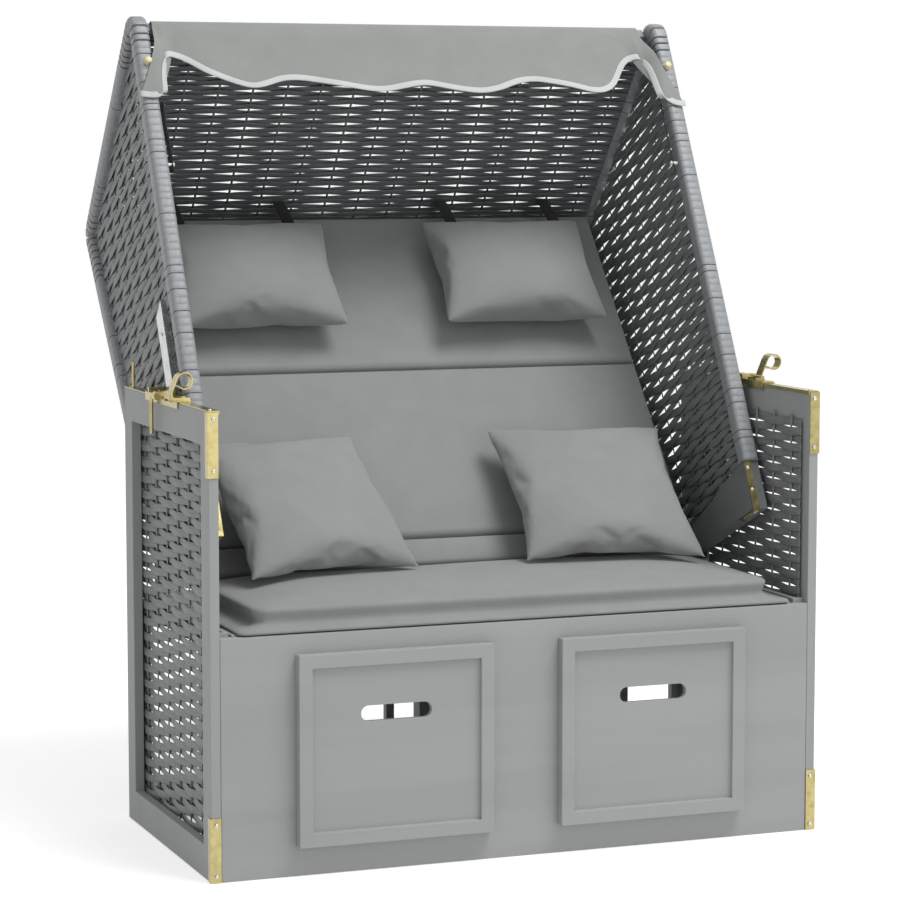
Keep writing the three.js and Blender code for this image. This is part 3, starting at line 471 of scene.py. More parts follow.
FIR_ACROSS = PaintedFir(name="satin_painted_fir_across", grain=Grain.ALONG_X)
FIR_DEEP = PaintedFir(name="satin_painted_fir_deep", grain=Grain.ALONG_Y)
FIR_UP = PaintedFir(name="satin_painted_fir_upright", grain=Grain.ALONG_Z)
FIR_DARK = PaintedFir(
    name="dark_painted_fir",
    colour="#767778",
    shade="#6b6c6d",
    roughness=0.55,
    slot="dark_wood",
    grain=Grain.ALONG_Y,
)
STRAND = WovenStrand()
# The roof's strand is the same strand in a darker grey. The darker grey is painted shade for the
# roof's underside, the only face of the roof that shows.
ROOF_STRAND = WovenStrand(
    name="dark_polyethylene_strand",
    colour="#66696b",
    shade="#55585a",
    slot="roof_strand",
)
WRAP = WrappedStrand()
BRASS = Plated()
SILVER = Plated(
    name="bright_zinc_plated_steel",
    colour="#cfd0d0",
    shade="#b5b6b7",
    roughness=0.24,
    slot="brass",
)
ZINC = Plated(
    name="dull_zinc_plated_steel",
    colour="#9a9c9f",
    shade="#7f8184",
    roughness=0.38,
    slot="steel",
)
CLOTH = WovenCloth()
AWNING_CLOTH = WovenCloth(
    name="polyester_awning_cloth",
    colour="#8d908d",
    shade="#898c89",
    slot="awning_fabric",
)
HEM_TAPE = WovenCloth(
    name="polyester_hem_tape",
    colour="#c3c4c4",
    shade="#bbbcbc",
    roughness=0.75,
    slot="awning_fabric",
    sheen=0.1,
)
WEBBING = WovenCloth(
    name="black_nylon_webbing",
    colour="#232325",
    shade="#161617",
    roughness=0.7,
    slot="webbing",
    thread=2.2,
    sheen=0.1,
)
ELASTIC = WovenCloth(
    name="black_covered_elastic",
    colour="#242427",
    shade="#18181a",
    roughness=0.7,
    slot="elastic",
    thread=1.5,
    sheen=0.1,
)
CREAM = MouldedNylon()
WHITE = MouldedNylon(name="moulded_white_nylon", colour="#ecebe6", shade="#dcdad2")


def new_object(
    name: str,
    places: Iterable[Sequence[float]],
    faces: Iterable[Sequence[int]],
    finish: Finish,
    matrix: Matrix | None = None,
) -> bpy.types.Object:
    """Makes a mesh object from places in millimetres.

    Args:
        name: the piece's name.
        places: its vertices in millimetres, in the piece's own frame.
        faces: its faces.
        finish: what it is made of.
        matrix: where its own frame stands in the chair's frame, in metres.

    Returns:
        The new object.
    """
    mesh = bpy.data.meshes.new(name)
    scaled = (np.asarray(places, float) * MM).tolist()
    mesh.from_pydata(scaled, [], [list(map(int, f)) for f in faces])
    mesh.validate()
    mesh.polygons.foreach_set("use_smooth", [True] * len(mesh.polygons))
    mesh.materials.append(finish.material())
    made = bpy.data.objects.new(name, mesh)
    bpy.context.scene.collection.objects.link(made)
    if matrix is not None:
        made.matrix_world = matrix
    return made


def settle(made: bpy.types.Object, tilted: Matrix, level: Matrix) -> None:
    """Moves a piece's tilt into its mesh, so that its own box is as tight as the piece.

    Args:
        made: the piece, before it rides on a body.
        tilted: the frame that it was made in.
        level: the frame that it gets.
    """
    made.data.transform(level.inverted() @ tilted)
    made.matrix_world = level


def loft(rings: Sequence[Sequence[Sequence[float]]]) -> tuple[list, list]:
    """Joins rings of equal count into one skin, with a face at each end.

    Args:
        rings: the rings, each a list of places.

    Returns:
        The vertices and the faces.
    """
    count = len(rings[0])
    places = [p for ring in rings for p in ring]
    faces = []
    for level in range(len(rings) - 1):
        low, high = level * count, (level + 1) * count
        for i in range(count):
            j = (i + 1) % count
            faces.append((low + i, low + j, high + j, high + i))
    faces.append(tuple(range(count - 1, -1, -1)))
    faces.append(tuple(range(len(places) - count, len(places))))
    return places, faces


def soften_edges(obj: bpy.types.Object, width: float) -> None:
    """Welds and bevels a sharp solid, so that its edges catch the light.

    Args:
        obj: the piece.
        width: the bevel's width in millimetres.
    """
    weld = obj.modifiers.new("weld", "WELD")
    weld.merge_threshold = 0.02 * MM
    bevel = obj.modifiers.new("worn edges", "BEVEL")
    bevel.width = width * MM
    bevel.segments = 2
    bevel.limit_method = "ANGLE"
    bevel.angle_limit = math.radians(32)
    bevel.use_clamp_overlap = True


@dataclass(frozen=True)
class HoodLine:
    """A line of the hood's outline, in its own plane of depth and height.

    Attributes:
        start: where the line starts.
        way: the direction that it runs in.
        inward: the direction to the inside of the hood.
    """

    start: Point
    way: Point
    inward: Point

    def at(self, run: float, depth: float = 0.0) -> Point:
        """The place a run along the line and a depth inside it."""
        return (
            self.start[0] + self.way[0] * run + self.inward[0] * depth,
            self.start[1] + self.way[1] * run + self.inward[1] * depth,
        )

    def run_of(self, place: Point) -> float:
        """How far along the line a place lies."""
        return (place[0] - self.start[0]) * self.way[0] + (place[1] - self.start[1]) * self.way[1]

    def meet(self, depth: float, other: "HoodLine", other_depth: float) -> Point:
        """Where this line meets another, each moved inside by its own depth.

        Args:
            depth: this line's depth.
            other: the other line.
            other_depth: the other line's depth.

        Returns:
            The place where they meet.
        """
        p, q = self.at(0, depth), other.at(0, other_depth)
        cross = self.way[0] * other.way[1] - self.way[1] * other.way[0]
        run = ((q[0] - p[0]) * other.way[1] - (q[1] - p[1]) * other.way[0]) / cross
        return (p[0] + self.way[0] * run, p[1] + self.way[1] * run)


def slope(degrees: float) -> Point:
    """The sine and the cosine of a slope in degrees."""
    return math.sin(math.radians(degrees)), math.cos(math.radians(degrees))


ROOF_FALL = 22.8
BACK_LEAN = 12.5
ROOF_SINE, ROOF_COSINE = slope(ROOF_FALL)
BACK_SINE, BACK_COSINE = slope(BACK_LEAN)


@dataclass(frozen=True)
class HoodShape:
    """The hood's outline and its place on the base, as the part has them.

    Attributes:
        pivot: the pivot's place in the chair's frame.
        recline: how far the hood leans back, in degrees.
        half_width: from the middle to the outside of a side bar.
        bar_width: the side bar's width across the chair.
        bar_depth: its depth in the plane of the hood's side.
        front: the front bar's front face, in front of the pivot.
        board_top: the top of the bottom board.
        weave_depth: the middle of the roof's and the back's weave, inside the outline.
        back_foot: how far along the back line a back bar stands on its board.
        front_line: the outer face of the front bars.
        roof_line: the outer face of the roof's bars.
        back_line: the outer face of the back bars.
    """

    pivot: Place = (0.0, 150.0, 480.0)
    recline: float = 27.5
    half_width: float = 556.0
    bar_width: float = 32.0
    bar_depth: float = 34.0
    front: float = 324.0
    board_top: float = 64.3
    weave_depth: float = 29.0
    back_foot: float = 30.3
    front_line: HoodLine = HoodLine((-324.0, 0.0), (0.0, 1.0), (1.0, 0.0))
    roof_line: HoodLine = HoodLine(
        (-324.0, 1045.0),
        (ROOF_COSINE, -ROOF_SINE),
        (-ROOF_SINE, -ROOF_COSINE),
    )
    back_line: HoodLine = HoodLine(
        (34.0, -11.0),
        (BACK_SINE, BACK_COSINE),
        (-BACK_COSINE, BACK_SINE),
    )

    @property
    def inner(self) -> float:
        """From the middle to the inside of a side bar."""
        return self.half_width - self.bar_width

    @property
    def matrix(self) -> Matrix:
        """The hood's frame in the chair's frame, in metres."""
        return Matrix.Translation(Vector(self.pivot) * MM) @ Matrix.Rotation(
            math.radians(-self.recline), 4, "X"
        )

    def plane(self, origin: Place, along: Place, up: Place) -> Matrix:
        """A flat piece's frame in the chair's frame.

        Args:
            origin: its origin in the hood's frame, in millimetres.
            along: the direction of its first axis in the hood's frame.
            up: the direction of its second axis.

        Returns:
            The matrix, in metres.
        """
        return self.matrix @ axes_matrix(origin, along, up)


def axes_matrix(origin: Place, along: Place, up: Place) -> Matrix:
    """A frame from its origin and its first two axes.

    Args:
        origin: the origin in millimetres.
        along: the first axis.
        up: the second axis, square to the first.

    Returns:
        The matrix, in metres.
    """
    a, b = Vector(along).normalized(), Vector(up).normalized()
    c = a.cross(b)
    rows = [[a[i], b[i], c[i], origin[i] * MM] for i in range(3)]
    return Matrix([*rows, [0, 0, 0, 1]])


HOOD = HoodShape()
TILTED_STRAND = WovenStrand(name="tilted_polyethylene_strand", turn=HOOD.recline)


def shown(node: str) -> bpy.types.Object:
    """The part's own node of that name."""
    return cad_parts[node]


def dress_node(node: str, finish: Finish, bevel: float = 0.0) -> bpy.types.Object:
    """Gives one of the part's own solids its finish and, if asked, softer edges.

    Args:
        node: the node's name.
        finish: what it is made of.
        bevel: the width of its softened edges in millimetres.

    Returns:
        The node's object.
    """
    piece = shown(node)
    piece.data.materials.clear()
    piece.data.materials.append(finish.material())
    if bevel:
        soften_edges(piece, bevel)
    return piece


@dataclass
class Weave:
    """A panel of flat strands woven on thin stakes, cut to a convex outline.

    The strands run along the panel's first axis, and the stakes along its second. At each
    stake a strand passes in front or behind, and two neighbours draw apart in front of it, so
    the panel has pointed slits that a stake divides.

    Attributes:
        node: the part's node that it stands for.
        body: the body that it rides on.
        outline: its corners in the panel's own frame.
        matrix: the panel's frame.
        finish: the strand's finish.
        strand: the width of a strand.
        pitch: from one strand to the next.
        stakes: from one stake to the next.
        stake_width: the width of a stake.
        stake_depth: half its thickness.
        relief: how far a strand's middle swings from the panel's middle.
        thickness: the strand's thickness.
        thin_edge: how far in from each edge it is thinner.
        lean: how far one edge of a strand stands proud of the other.
        opening: the least and the most that a stake draws two strands apart.
        uneven: the share by which one strand's openings differ from the next one's.
        tuck: how far the strands run on under the frame.
        seed: what the uneven openings start from.
        steps: places along a strand between two stakes.
        level: the frame that the finished panel gets, where its box would be too large.
    """

    node: str
    body: str
    outline: list[Point]
    matrix: Matrix
    finish: Finish
    strand: float = 15.4
    pitch: float = 15.0
    stakes: float = 70.0
    stake_width: float = 5.0
    stake_depth: float = 1.0
    relief: float = 2.7
    thickness: float = 1.3
    thin_edge: float = 1.2
    lean: float = 0.45
    opening: Point = (5.0, 11.0)
    uneven: float = 0.16
    tuck: float = 6.0
    seed: int = 1
    steps: int = 6
    level: Matrix | None = None

    def span(self, place: float, level: bool) -> Point | None:
        """Where a level or an upright line enters and leaves the outline.

        Args:
            place: a level line's height, or an upright line's place across.
            level: whether the line is level.

        Returns:
            The two ends, or nothing where the line misses the outline.
        """
        # The axis square to the line, and the one along it.
        across, along = (1, 0) if level else (0, 1)
        ends = []
        for a, b in zip(self.outline, self.outline[1:] + self.outline[:1]):
            if (a[across] - place) * (b[across] - place) <= 0 and a[across] != b[across]:
                run = (b[along] - a[along]) * (place - a[across]) / (b[across] - a[across])
                ends.append(a[along] + run)
        if len(ends) < 2 or max(ends) - min(ends) < self.pitch:
            return None
        return min(ends), max(ends)

    def build(self) -> bpy.types.Object:
        """Makes the strands and the stakes as one mesh.

        Returns:
            The panel, which rides on its body and stands for its node.
        """
        places: list = []
        faces: list = []
        left = min(x for x, _ in self.outline)
        right = max(x for x, _ in self.outline)
        low = min(y for _, y in self.outline)
        high = max(y for _, y in self.outline)
        draw = np.random.default_rng(self.seed)
        first = math.floor(left / self.stakes) - 1
        count = math.ceil(right / self.stakes) - first + 2
        spread = draw.uniform(*self.opening, count) / 2
        rows = int((high - low) / self.pitch)
        margin = ((high - low) - rows * self.pitch) / 2
        for row in range(rows):
            centre = low + margin + (row + 0.5) * self.pitch
            ends = self.span(centre, level=True)
            if ends is None:
                continue
            self._strand(places, faces, row, centre, ends, first, spread, draw)
        for stake in range(count):
            across = (first + stake) * self.stakes
            ends = self.span(across, level=False)
            if ends is not None:
                self._stake(places, faces, across, ends)
        made = new_object(f"{self.node}_woven", places, faces, self.finish, self.matrix)
        if self.level is not None:
            settle(made, self.matrix, self.level)
        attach(made, self.body)
        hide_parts(self.node)
        return made

    def _strand(
        self,
        places: list,
        faces: list,
        row: int,
        centre: float,
        ends: Point,
        first: int,
        spread: np.ndarray,
        draw: np.random.Generator,
    ) -> None:
        """Adds one strand as a flat tube of six corners.

        Args:
            places: the mesh's vertices so far.
            faces: its faces so far.
            row: the strand's number.
            centre: its height in the panel's frame.
            ends: where it starts and ends.
            first: the number of the first stake.
            spread: half the opening at each stake.
            draw: where uneven values come from.
        """
        step = self.stakes / self.steps
        start, end = ends[0] - self.tuck, ends[1] + self.tuck
        inside = np.arange(math.ceil(start / step), math.floor(end / step) + 1) * step
        along = np.unique(np.concatenate([[start], inside, [end]]))
        turn = -1.0 if row % 2 else 1.0
        stake = along / self.stakes - first
        number = np.clip(stake.astype(int), 0, len(spread) - 2)
        share = stake - number
        uneven = spread * (1 + draw.uniform(-self.uneven, self.uneven, len(spread)))
        sign = np.where((number + first) % 2 == 0, 1.0, -1.0) * turn
        shift = sign * (uneven[number] * (1 - share) - uneven[number + 1] * share)
        swing = self.relief * turn * np.cos(math.pi * along / self.stakes)
        half, thick, lean = self.strand / 2, self.thickness / 2, self.lean
        inner = half - self.thin_edge
        section = (
            (-half, -lean),
            (-inner, -thick - lean),
            (inner, -thick + lean),
            (half, lean),
            (inner, thick + lean),
            (-inner, thick - lean),
        )
        base = len(places)
        for u, v, n in zip(along, centre + shift, swing):
            places.extend((u, v + a, n + b) for a, b in section)
        faces.extend(tube_faces(base, len(along), len(section)))

    def _stake(self, places: list, faces: list, across: float, ends: Point) -> None:
        """Adds one straight stake.

        Args:
            places: the mesh's vertices so far.
            faces: its faces so far.
            across: where it stands.
            ends: its foot and its top.
        """
        base = len(places)
        half, corners = self.stake_width / 2, 8
        for height in (ends[0] - self.tuck, ends[1] + self.tuck):
            places.extend(
                (across + half * math.cos(a), height, self.stake_depth * math.sin(a))
                for a in (i * math.tau / corners for i in range(corners))
            )
        faces.extend(tube_faces(base, 2, corners, flip=True))


def tube_faces(base: int, rings: int, corners: int, flip: bool = False) -> list:
    """The faces of a closed tube whose rings follow each other in a list of vertices.

    Args:
        base: the number of the first vertex.
        rings: how many rings it has.
        corners: how many corners a ring has.
        flip: whether the rings turn the other way.

    Returns:
        The faces, with one at each end.
    """
    made = []
    for ring in range(rings - 1):
        low, high = base + ring * corners, base + (ring + 1) * corners
        for i in range(corners):
            j = (i + 1) % corners
            quad = (low + i, low + j, high + j, high + i)
            made.append(quad[::-1] if flip else quad)
    first = tuple(base + i for i in range(corners))
    last = tuple(base + (rings - 1) * corners + i for i in range(corners))
    made.append(first if flip else first[::-1])
    made.append(last[::-1] if flip else last)
    return made


def bent_path(corners: Sequence[tuple[float, float, float]], step: float) -> np.ndarray:
    """An open path through corners that are rounded, as places an even step apart.

    Args:
        corners: each corner's place and radius.
        step: the distance between two places.

    Returns:
        The places.
    """
    dense: list[np.ndarray] = []
    for i, (y, z, radius) in enumerate(corners):
        corner = np.array([y, z])
        if radius == 0 or i in (0, len(corners) - 1):
            dense.append(corner[None])
            continue
        before = np.array(corners[i - 1][:2]) - corner
        after = np.array(corners[i + 1][:2]) - corner
        before, after = before / np.linalg.norm(before), after / np.linalg.norm(after)
        half = math.acos(float(before @ after)) / 2
        run = radius / math.tan(half)
        middle = (before + after) / np.linalg.norm(before + after)
        centre = corner + middle * radius / math.sin(half)
        first, last = corner + before * run - centre, corner + after * run - centre
        a0, a1 = math.atan2(first[1], first[0]), math.atan2(last[1], last[0])
        turn = (a1 - a0 + math.pi) % math.tau - math.pi
        angles = a0 + np.linspace(0, turn, 24)
        dense.append(centre + radius * np.stack([np.cos(angles), np.sin(angles)], 1))
    path = np.concatenate(dense)
    lengths = np.concatenate([[0], np.cumsum(np.linalg.norm(np.diff(path, axis=0), axis=1))])
    where = np.arange(0, lengths[-1], step)
    return np.stack([np.interp(where, lengths, path[:, k]) for k in (0, 1)], 1)


@dataclass
class WrappedBar:
    """A bent hood bar, wound from end to end with flat strand.

    Attributes:
        side: the side of the chair.
        turn: the least and the most width of one turn of strand.
        shallow: the width and the depth of the line between most turns.
        deep: the same for the turns that have drawn apart.
        open_line: the same round the bends, where the strand is wound with gaps.
        before_bend: how far before a bend such gaps start.
        after_bend: how far after it they end.
        seed: what the uneven turns start from.
        bend: the radius of the bar's middle line at its two bends.
        rounding: the radius of the section's corners.
        apart: the share of the turns that have drawn apart.
        pace: the distance between two places of the bar's middle line.
        crease: the least angle in degrees that is shaded as an edge.
    """

    side: Side
    turn: Point = (13.0, 17.0)
    shallow: Point = (0.5, 0.4)
    deep: Point = (1.7, 3.0)
    open_line: Point = (3.6, 4.5)
    before_bend: float = 75.0
    after_bend: float = 95.0
    seed: int = 5
    bend: float = 20.0
    rounding: float = 8.0
    apart: float = 0.35
    pace: float = 0.5
    crease: float = 28.0

    def section(self) -> np.ndarray:
        """The bar's rounded section: depth in the side's plane, and width across the chair."""
        half_depth, half_width = HOOD.bar_depth / 2, HOOD.bar_width / 2
        places = []
        for quarter, (a, b) in enumerate(((1, 1), (-1, 1), (-1, -1), (1, -1))):
            for step in range(5):
                angle = math.radians(quarter * 90 + step * 22.5)
                places.append(
                    (
                        a * (half_depth - self.rounding) + self.rounding * math.cos(angle),
                        b * (half_width - self.rounding) + self.rounding * math.sin(angle),
                    )
                )
        return np.array(places)

    def build(self) -> bpy.types.Object:
        """Winds the strand along the bar's middle line.

        Returns:
            The bar, which rides on the hood and stands for the part's plain one.
        """
        middle = HOOD.bar_depth / 2
        front, roof, back = HOOD.front_line, HOOD.roof_line, HOOD.back_line
        corners = [
            (*front.at(HOOD.board_top, middle), 0.0),
            (*front.meet(middle, roof, middle), self.bend),
            (*roof.meet(middle, back, middle), self.bend),
            (*back.at(HOOD.back_foot, middle), 0.0),
        ]
        path = bent_path(corners, self.pace)
        draw = np.random.default_rng(self.seed + self.side.value)
        section = self.section()
        centre = self.side.value * (HOOD.half_width - HOOD.bar_width / 2)
        rings: list = []
        place = 0
        places_of_bends = np.array([c[:2] for c in corners])
        lengths = np.linalg.norm(np.diff(places_of_bends, axis=0), axis=1)
        bends = (lengths[0], lengths[0] + lengths[1])
        while place < len(path) - 4:
            width = draw.uniform(*self.turn)
            by_bend = any(
                -self.before_bend < place * self.pace - bend < self.after_bend
                for bend in bends
            )
            drawn_apart = draw.random() < self.apart
            gap, depth = self.deep if drawn_apart else self.shallow
            if by_bend:
                gap, depth = self.open_line
            last = min(place + int(width / self.pace), len(path) - 1)
            profile = (
                (0.0, depth),
                (gap * 0.8, depth),
                (gap, 0.2),
                (gap + self.pace, 0.0),
                (width / 2, -0.05),
                (width - self.pace, 0.0),
            )
            for run, sink in profile:
                index = min(place + int(run / self.pace), len(path) - 1)
                if index <= last:
                    rings.append(self._ring(path, index, section, sink, centre))
            place = last
        rings.append(self._ring(path, len(path) - 1, section, 0.0, centre))
        places, faces = loft(rings)
        name = f"hood_bar_wrapped_{self.side.word}"
        made = new_object(name, places, faces, WRAP, HOOD.matrix)
        made.data.set_sharp_from_angle(angle=math.radians(self.crease))
        settle(made, HOOD.matrix, Matrix())
        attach(made, "hood")
        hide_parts(f"hood_side_frame_{self.side.word}")
        return made

    def _ring(
        self, path: np.ndarray, index: int, section: np.ndarray, sink: float, centre: float
    ) -> list:
        """One ring of the winding.

        Args:
            path: the bar's middle line.
            index: where on it the ring stands.
            section: the bar's section.
            sink: how far the ring lies below the bar's face.
            centre: the bar's place across the chair.

        Returns:
            The ring's places in the hood's frame.
        """
        before, after = path[max(index - 3, 0)], path[min(index + 3, len(path) - 1)]
        way = (after - before) / np.linalg.norm(after - before)
        across = np.array([-way[1], way[0]])
        places = []
        for depth, width in section:
            reach = math.hypot(depth, width)
            scale = 1 - sink / reach
            y, z = path[index] + across * depth * scale
            places.append((centre + width * scale, y, z))
        return places


CLOTH_FACE = 6.0
AIR_PRESSURE = 4.0
FILL_FRAMES = 20


def inflate(
    obj: bpy.types.Object, cap: float, floor: float | None, front: float, back: float
) -> None:
    """Fills a cloth skin with air, so that it swells and wrinkles as a stuffed one does.

    The result is applied to the piece.

    Args:
        obj: the piece, still at the origin of its own frame.
        cap: the furthest that a point may move, in millimetres.
        floor: a level of the piece's own second axis that no point sinks below.
        front: how far the filled face may stand out at the most.
        back: the same for the other face.
    """
    scene = bpy.context.scene
    remesh = obj.modifiers.new("even faces", "REMESH")
    remesh.mode = "VOXEL"
    remesh.voxel_size = CLOTH_FACE * MM
    apply_modifiers(obj)
    before = coordinates(obj)
    cloth = obj.modifiers.new("air", "CLOTH")
    cloth.settings.quality = 6
    cloth.settings.mass = 0.25
    cloth.settings.tension_stiffness = 18
    cloth.settings.compression_stiffness = 18
    cloth.settings.shear_stiffness = 8
    cloth.settings.bending_stiffness = 1.5
    cloth.settings.air_damping = 4
    cloth.settings.use_pressure = True
    cloth.settings.uniform_pressure_force = AIR_PRESSURE
    cloth.settings.effector_weights.gravity = 0
    cloth.point_cache.frame_start, cloth.point_cache.frame_end = 1, FILL_FRAMES
    for number in range(1, FILL_FRAMES + 1):
        scene.frame_set(number)
    apply_modifiers(obj)
    after = coordinates(obj)
    scene.frame_set(1)
    move = after - before
    length = np.linalg.norm(move, axis=1, keepdims=True)
    limit = cap * MM
    after = before + move * np.minimum(1, limit / np.maximum(length, 1e-9))
    for hand, most in ((1, front), (-1, back)):
        of_face = after[:, 2] * hand > 0
        swell = float(np.abs(after[of_face, 2]).max())
        after[of_face, 2] *= min(1.0, most * MM / swell)
    if floor is not None:
        after[:, 1] = np.maximum(after[:, 1], floor * MM)
    obj.data.vertices.foreach_set("co", after.astype(np.float32).ravel())
    obj.data.polygons.foreach_set("use_smooth", [True] * len(obj.data.polygons))
    softer = obj.modifiers.new("softer", "SMOOTH")
    softer.factor, softer.iterations = 0.5, 4
    finer = obj.modifiers.new("finer", "SUBSURF")
    finer.levels = finer.render_levels = 1
    apply_modifiers(obj)


def apply_modifiers(obj: bpy.types.Object) -> None:
    """Turns a piece's modifiers into its own mesh."""
    graph = bpy.context.evaluated_depsgraph_get()
    made = bpy.data.meshes.new_from_object(obj.evaluated_get(graph))
    obj.modifiers.clear()
    obj.data = made


def coordinates(obj: bpy.types.Object) -> np.ndarray:
    """A piece's vertices as rows of three numbers, in metres."""
    flat = np.zeros(len(obj.data.vertices) * 3, np.float32)
    obj.data.vertices.foreach_get("co", flat)
    return flat.reshape(-1, 3).astype(float)


def two_sided(
    columns: int, rows: int, place: Callable[[float, float, int], Sequence[float]]
) -> tuple[list, list]:
    """A closed skin from a front and a back over a grid whose border both share.

    Args:
        columns: the grid's columns.
        rows: its rows.
        place: gives a place from its two shares, each from -1 to 1, and its face, 1 or -1.

    Returns:
        The vertices and the faces.
    """
    places: list = []
    grids: tuple[list, list] = ([], [])
    for row in range(rows + 1):
        for column in range(columns + 1):
            u, v = 2 * column / columns - 1, 2 * row / rows - 1
            border = row in (0, rows) or column in (0, columns)
            grids[0].append(len(places))
            places.append(place(u, v, 1))
            if border:
                grids[1].append(len(places) - 1)
            else:
                grids[1].append(len(places))
                places.append(place(u, v, -1))
    faces = []
    for row in range(rows):
        for column in range(columns):
            a = row * (columns + 1) + column
            corners = (a, a + 1, a + columns + 2, a + columns + 1)
            faces.append(tuple(grids[0][c] for c in corners))
            faces.append(tuple(grids[1][c] for c in corners[::-1]))
    return places, faces


@dataclass
class Pillow:
    """A plump knife-edge pillow: its sides are drawn in between its corners.

    Attributes:
        node: the part's node that it stands for.
        body: the body that it rides on.
        width: its width.
        height: its height from the bottom seam.
        thickness: its thickness at the crown.
        matrix: its own frame, with its bottom seam's middle at the origin.
        sits: how fast the back may swell above the bottom seam, or nothing.
        pinch: how far its sides are drawn in.
        start: the share of its thickness before it is filled.
        cap: the furthest that filling may move a point.
        tilt: how far the filling has sunk to the bottom, from 0 to 1.
        skew: how far its top has slipped sideways.
        flat_back: the share that the back swells, against the front, where the pillow sits.
        spare: what the cloth has beyond its size at each side, which filling takes up.
        ripple: how far the cloth stands out and in where the filling is uneven.
        seam: half the thickness of the cloth beside a seam.
        grid: how many faces its cloth has each way before it is filled.
        seed: what its uneven filling starts from.
    """

    node: str
    body: str
    width: float
    height: float
    thickness: float
    matrix: Matrix
    sits: float | None = None
    pinch: float = 16.0
    start: float = 0.86
    cap: float = 22.0
    tilt: float = 0.12
    skew: float = 0.0
    flat_back: float = 0.45
    spare: float = 5.0
    ripple: float = 1.2
    seam: float = 0.6
    grid: int = 44
    seed: int = 3

    def build(self) -> bpy.types.Object:
        """Shapes the pillow, fills it and puts it in its place.

        Returns:
            The pillow, which rides on its body and stands for its node.
        """
        draw = np.random.default_rng(self.seed)
        phase = draw.uniform(0, math.tau, 4)
        grow = self.start
        spare = self.spare
        pinch = self.pinch * 0.4

        def place(a: float, b: float, face: int) -> Place:
            """A place of the pillow from its two shares and its face."""
            u, v = math.sin(a * math.pi / 2), math.sin(b * math.pi / 2)
            x = u * (self.width / 2 + spare - pinch * (1 - v * v) * u * u)
            y = v * (self.height / 2 + spare - pinch * (1 - u * u) * v * v)
            y += self.height / 2
            x += self.skew * y / self.height
            swell = math.sqrt(max(0.0, (1 - u * u) * (1 - v * v)))
            swell *= self.thickness / 2 * grow * (1 - self.tilt * v)
            swell += self.ripple * math.sin(5 * u + phase[0] + face) * math.sin(4 * v + phase[1])
            swell = max(swell, self.seam)
            if face < 0 and self.sits is not None:
                swell = min(swell, max(self.seam, y * self.sits))
            on_seam = abs(a) == 1 or abs(b) == 1
            return (x, y, 0.0 if on_seam else face * swell)

        places, faces = two_sided(self.grid, self.grid, place)
        made = new_object(f"{self.node}_filled", places, faces, CLOTH)
        half = self.thickness / 2
        inflate(
            made,
            self.cap,
            floor=None if self.sits is None else 0.0,
            front=half,
            back=half if self.sits is None else half * self.flat_back,
        )
        made.matrix_world = self.matrix
        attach(made, self.body)
        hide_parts(self.node)
        return made


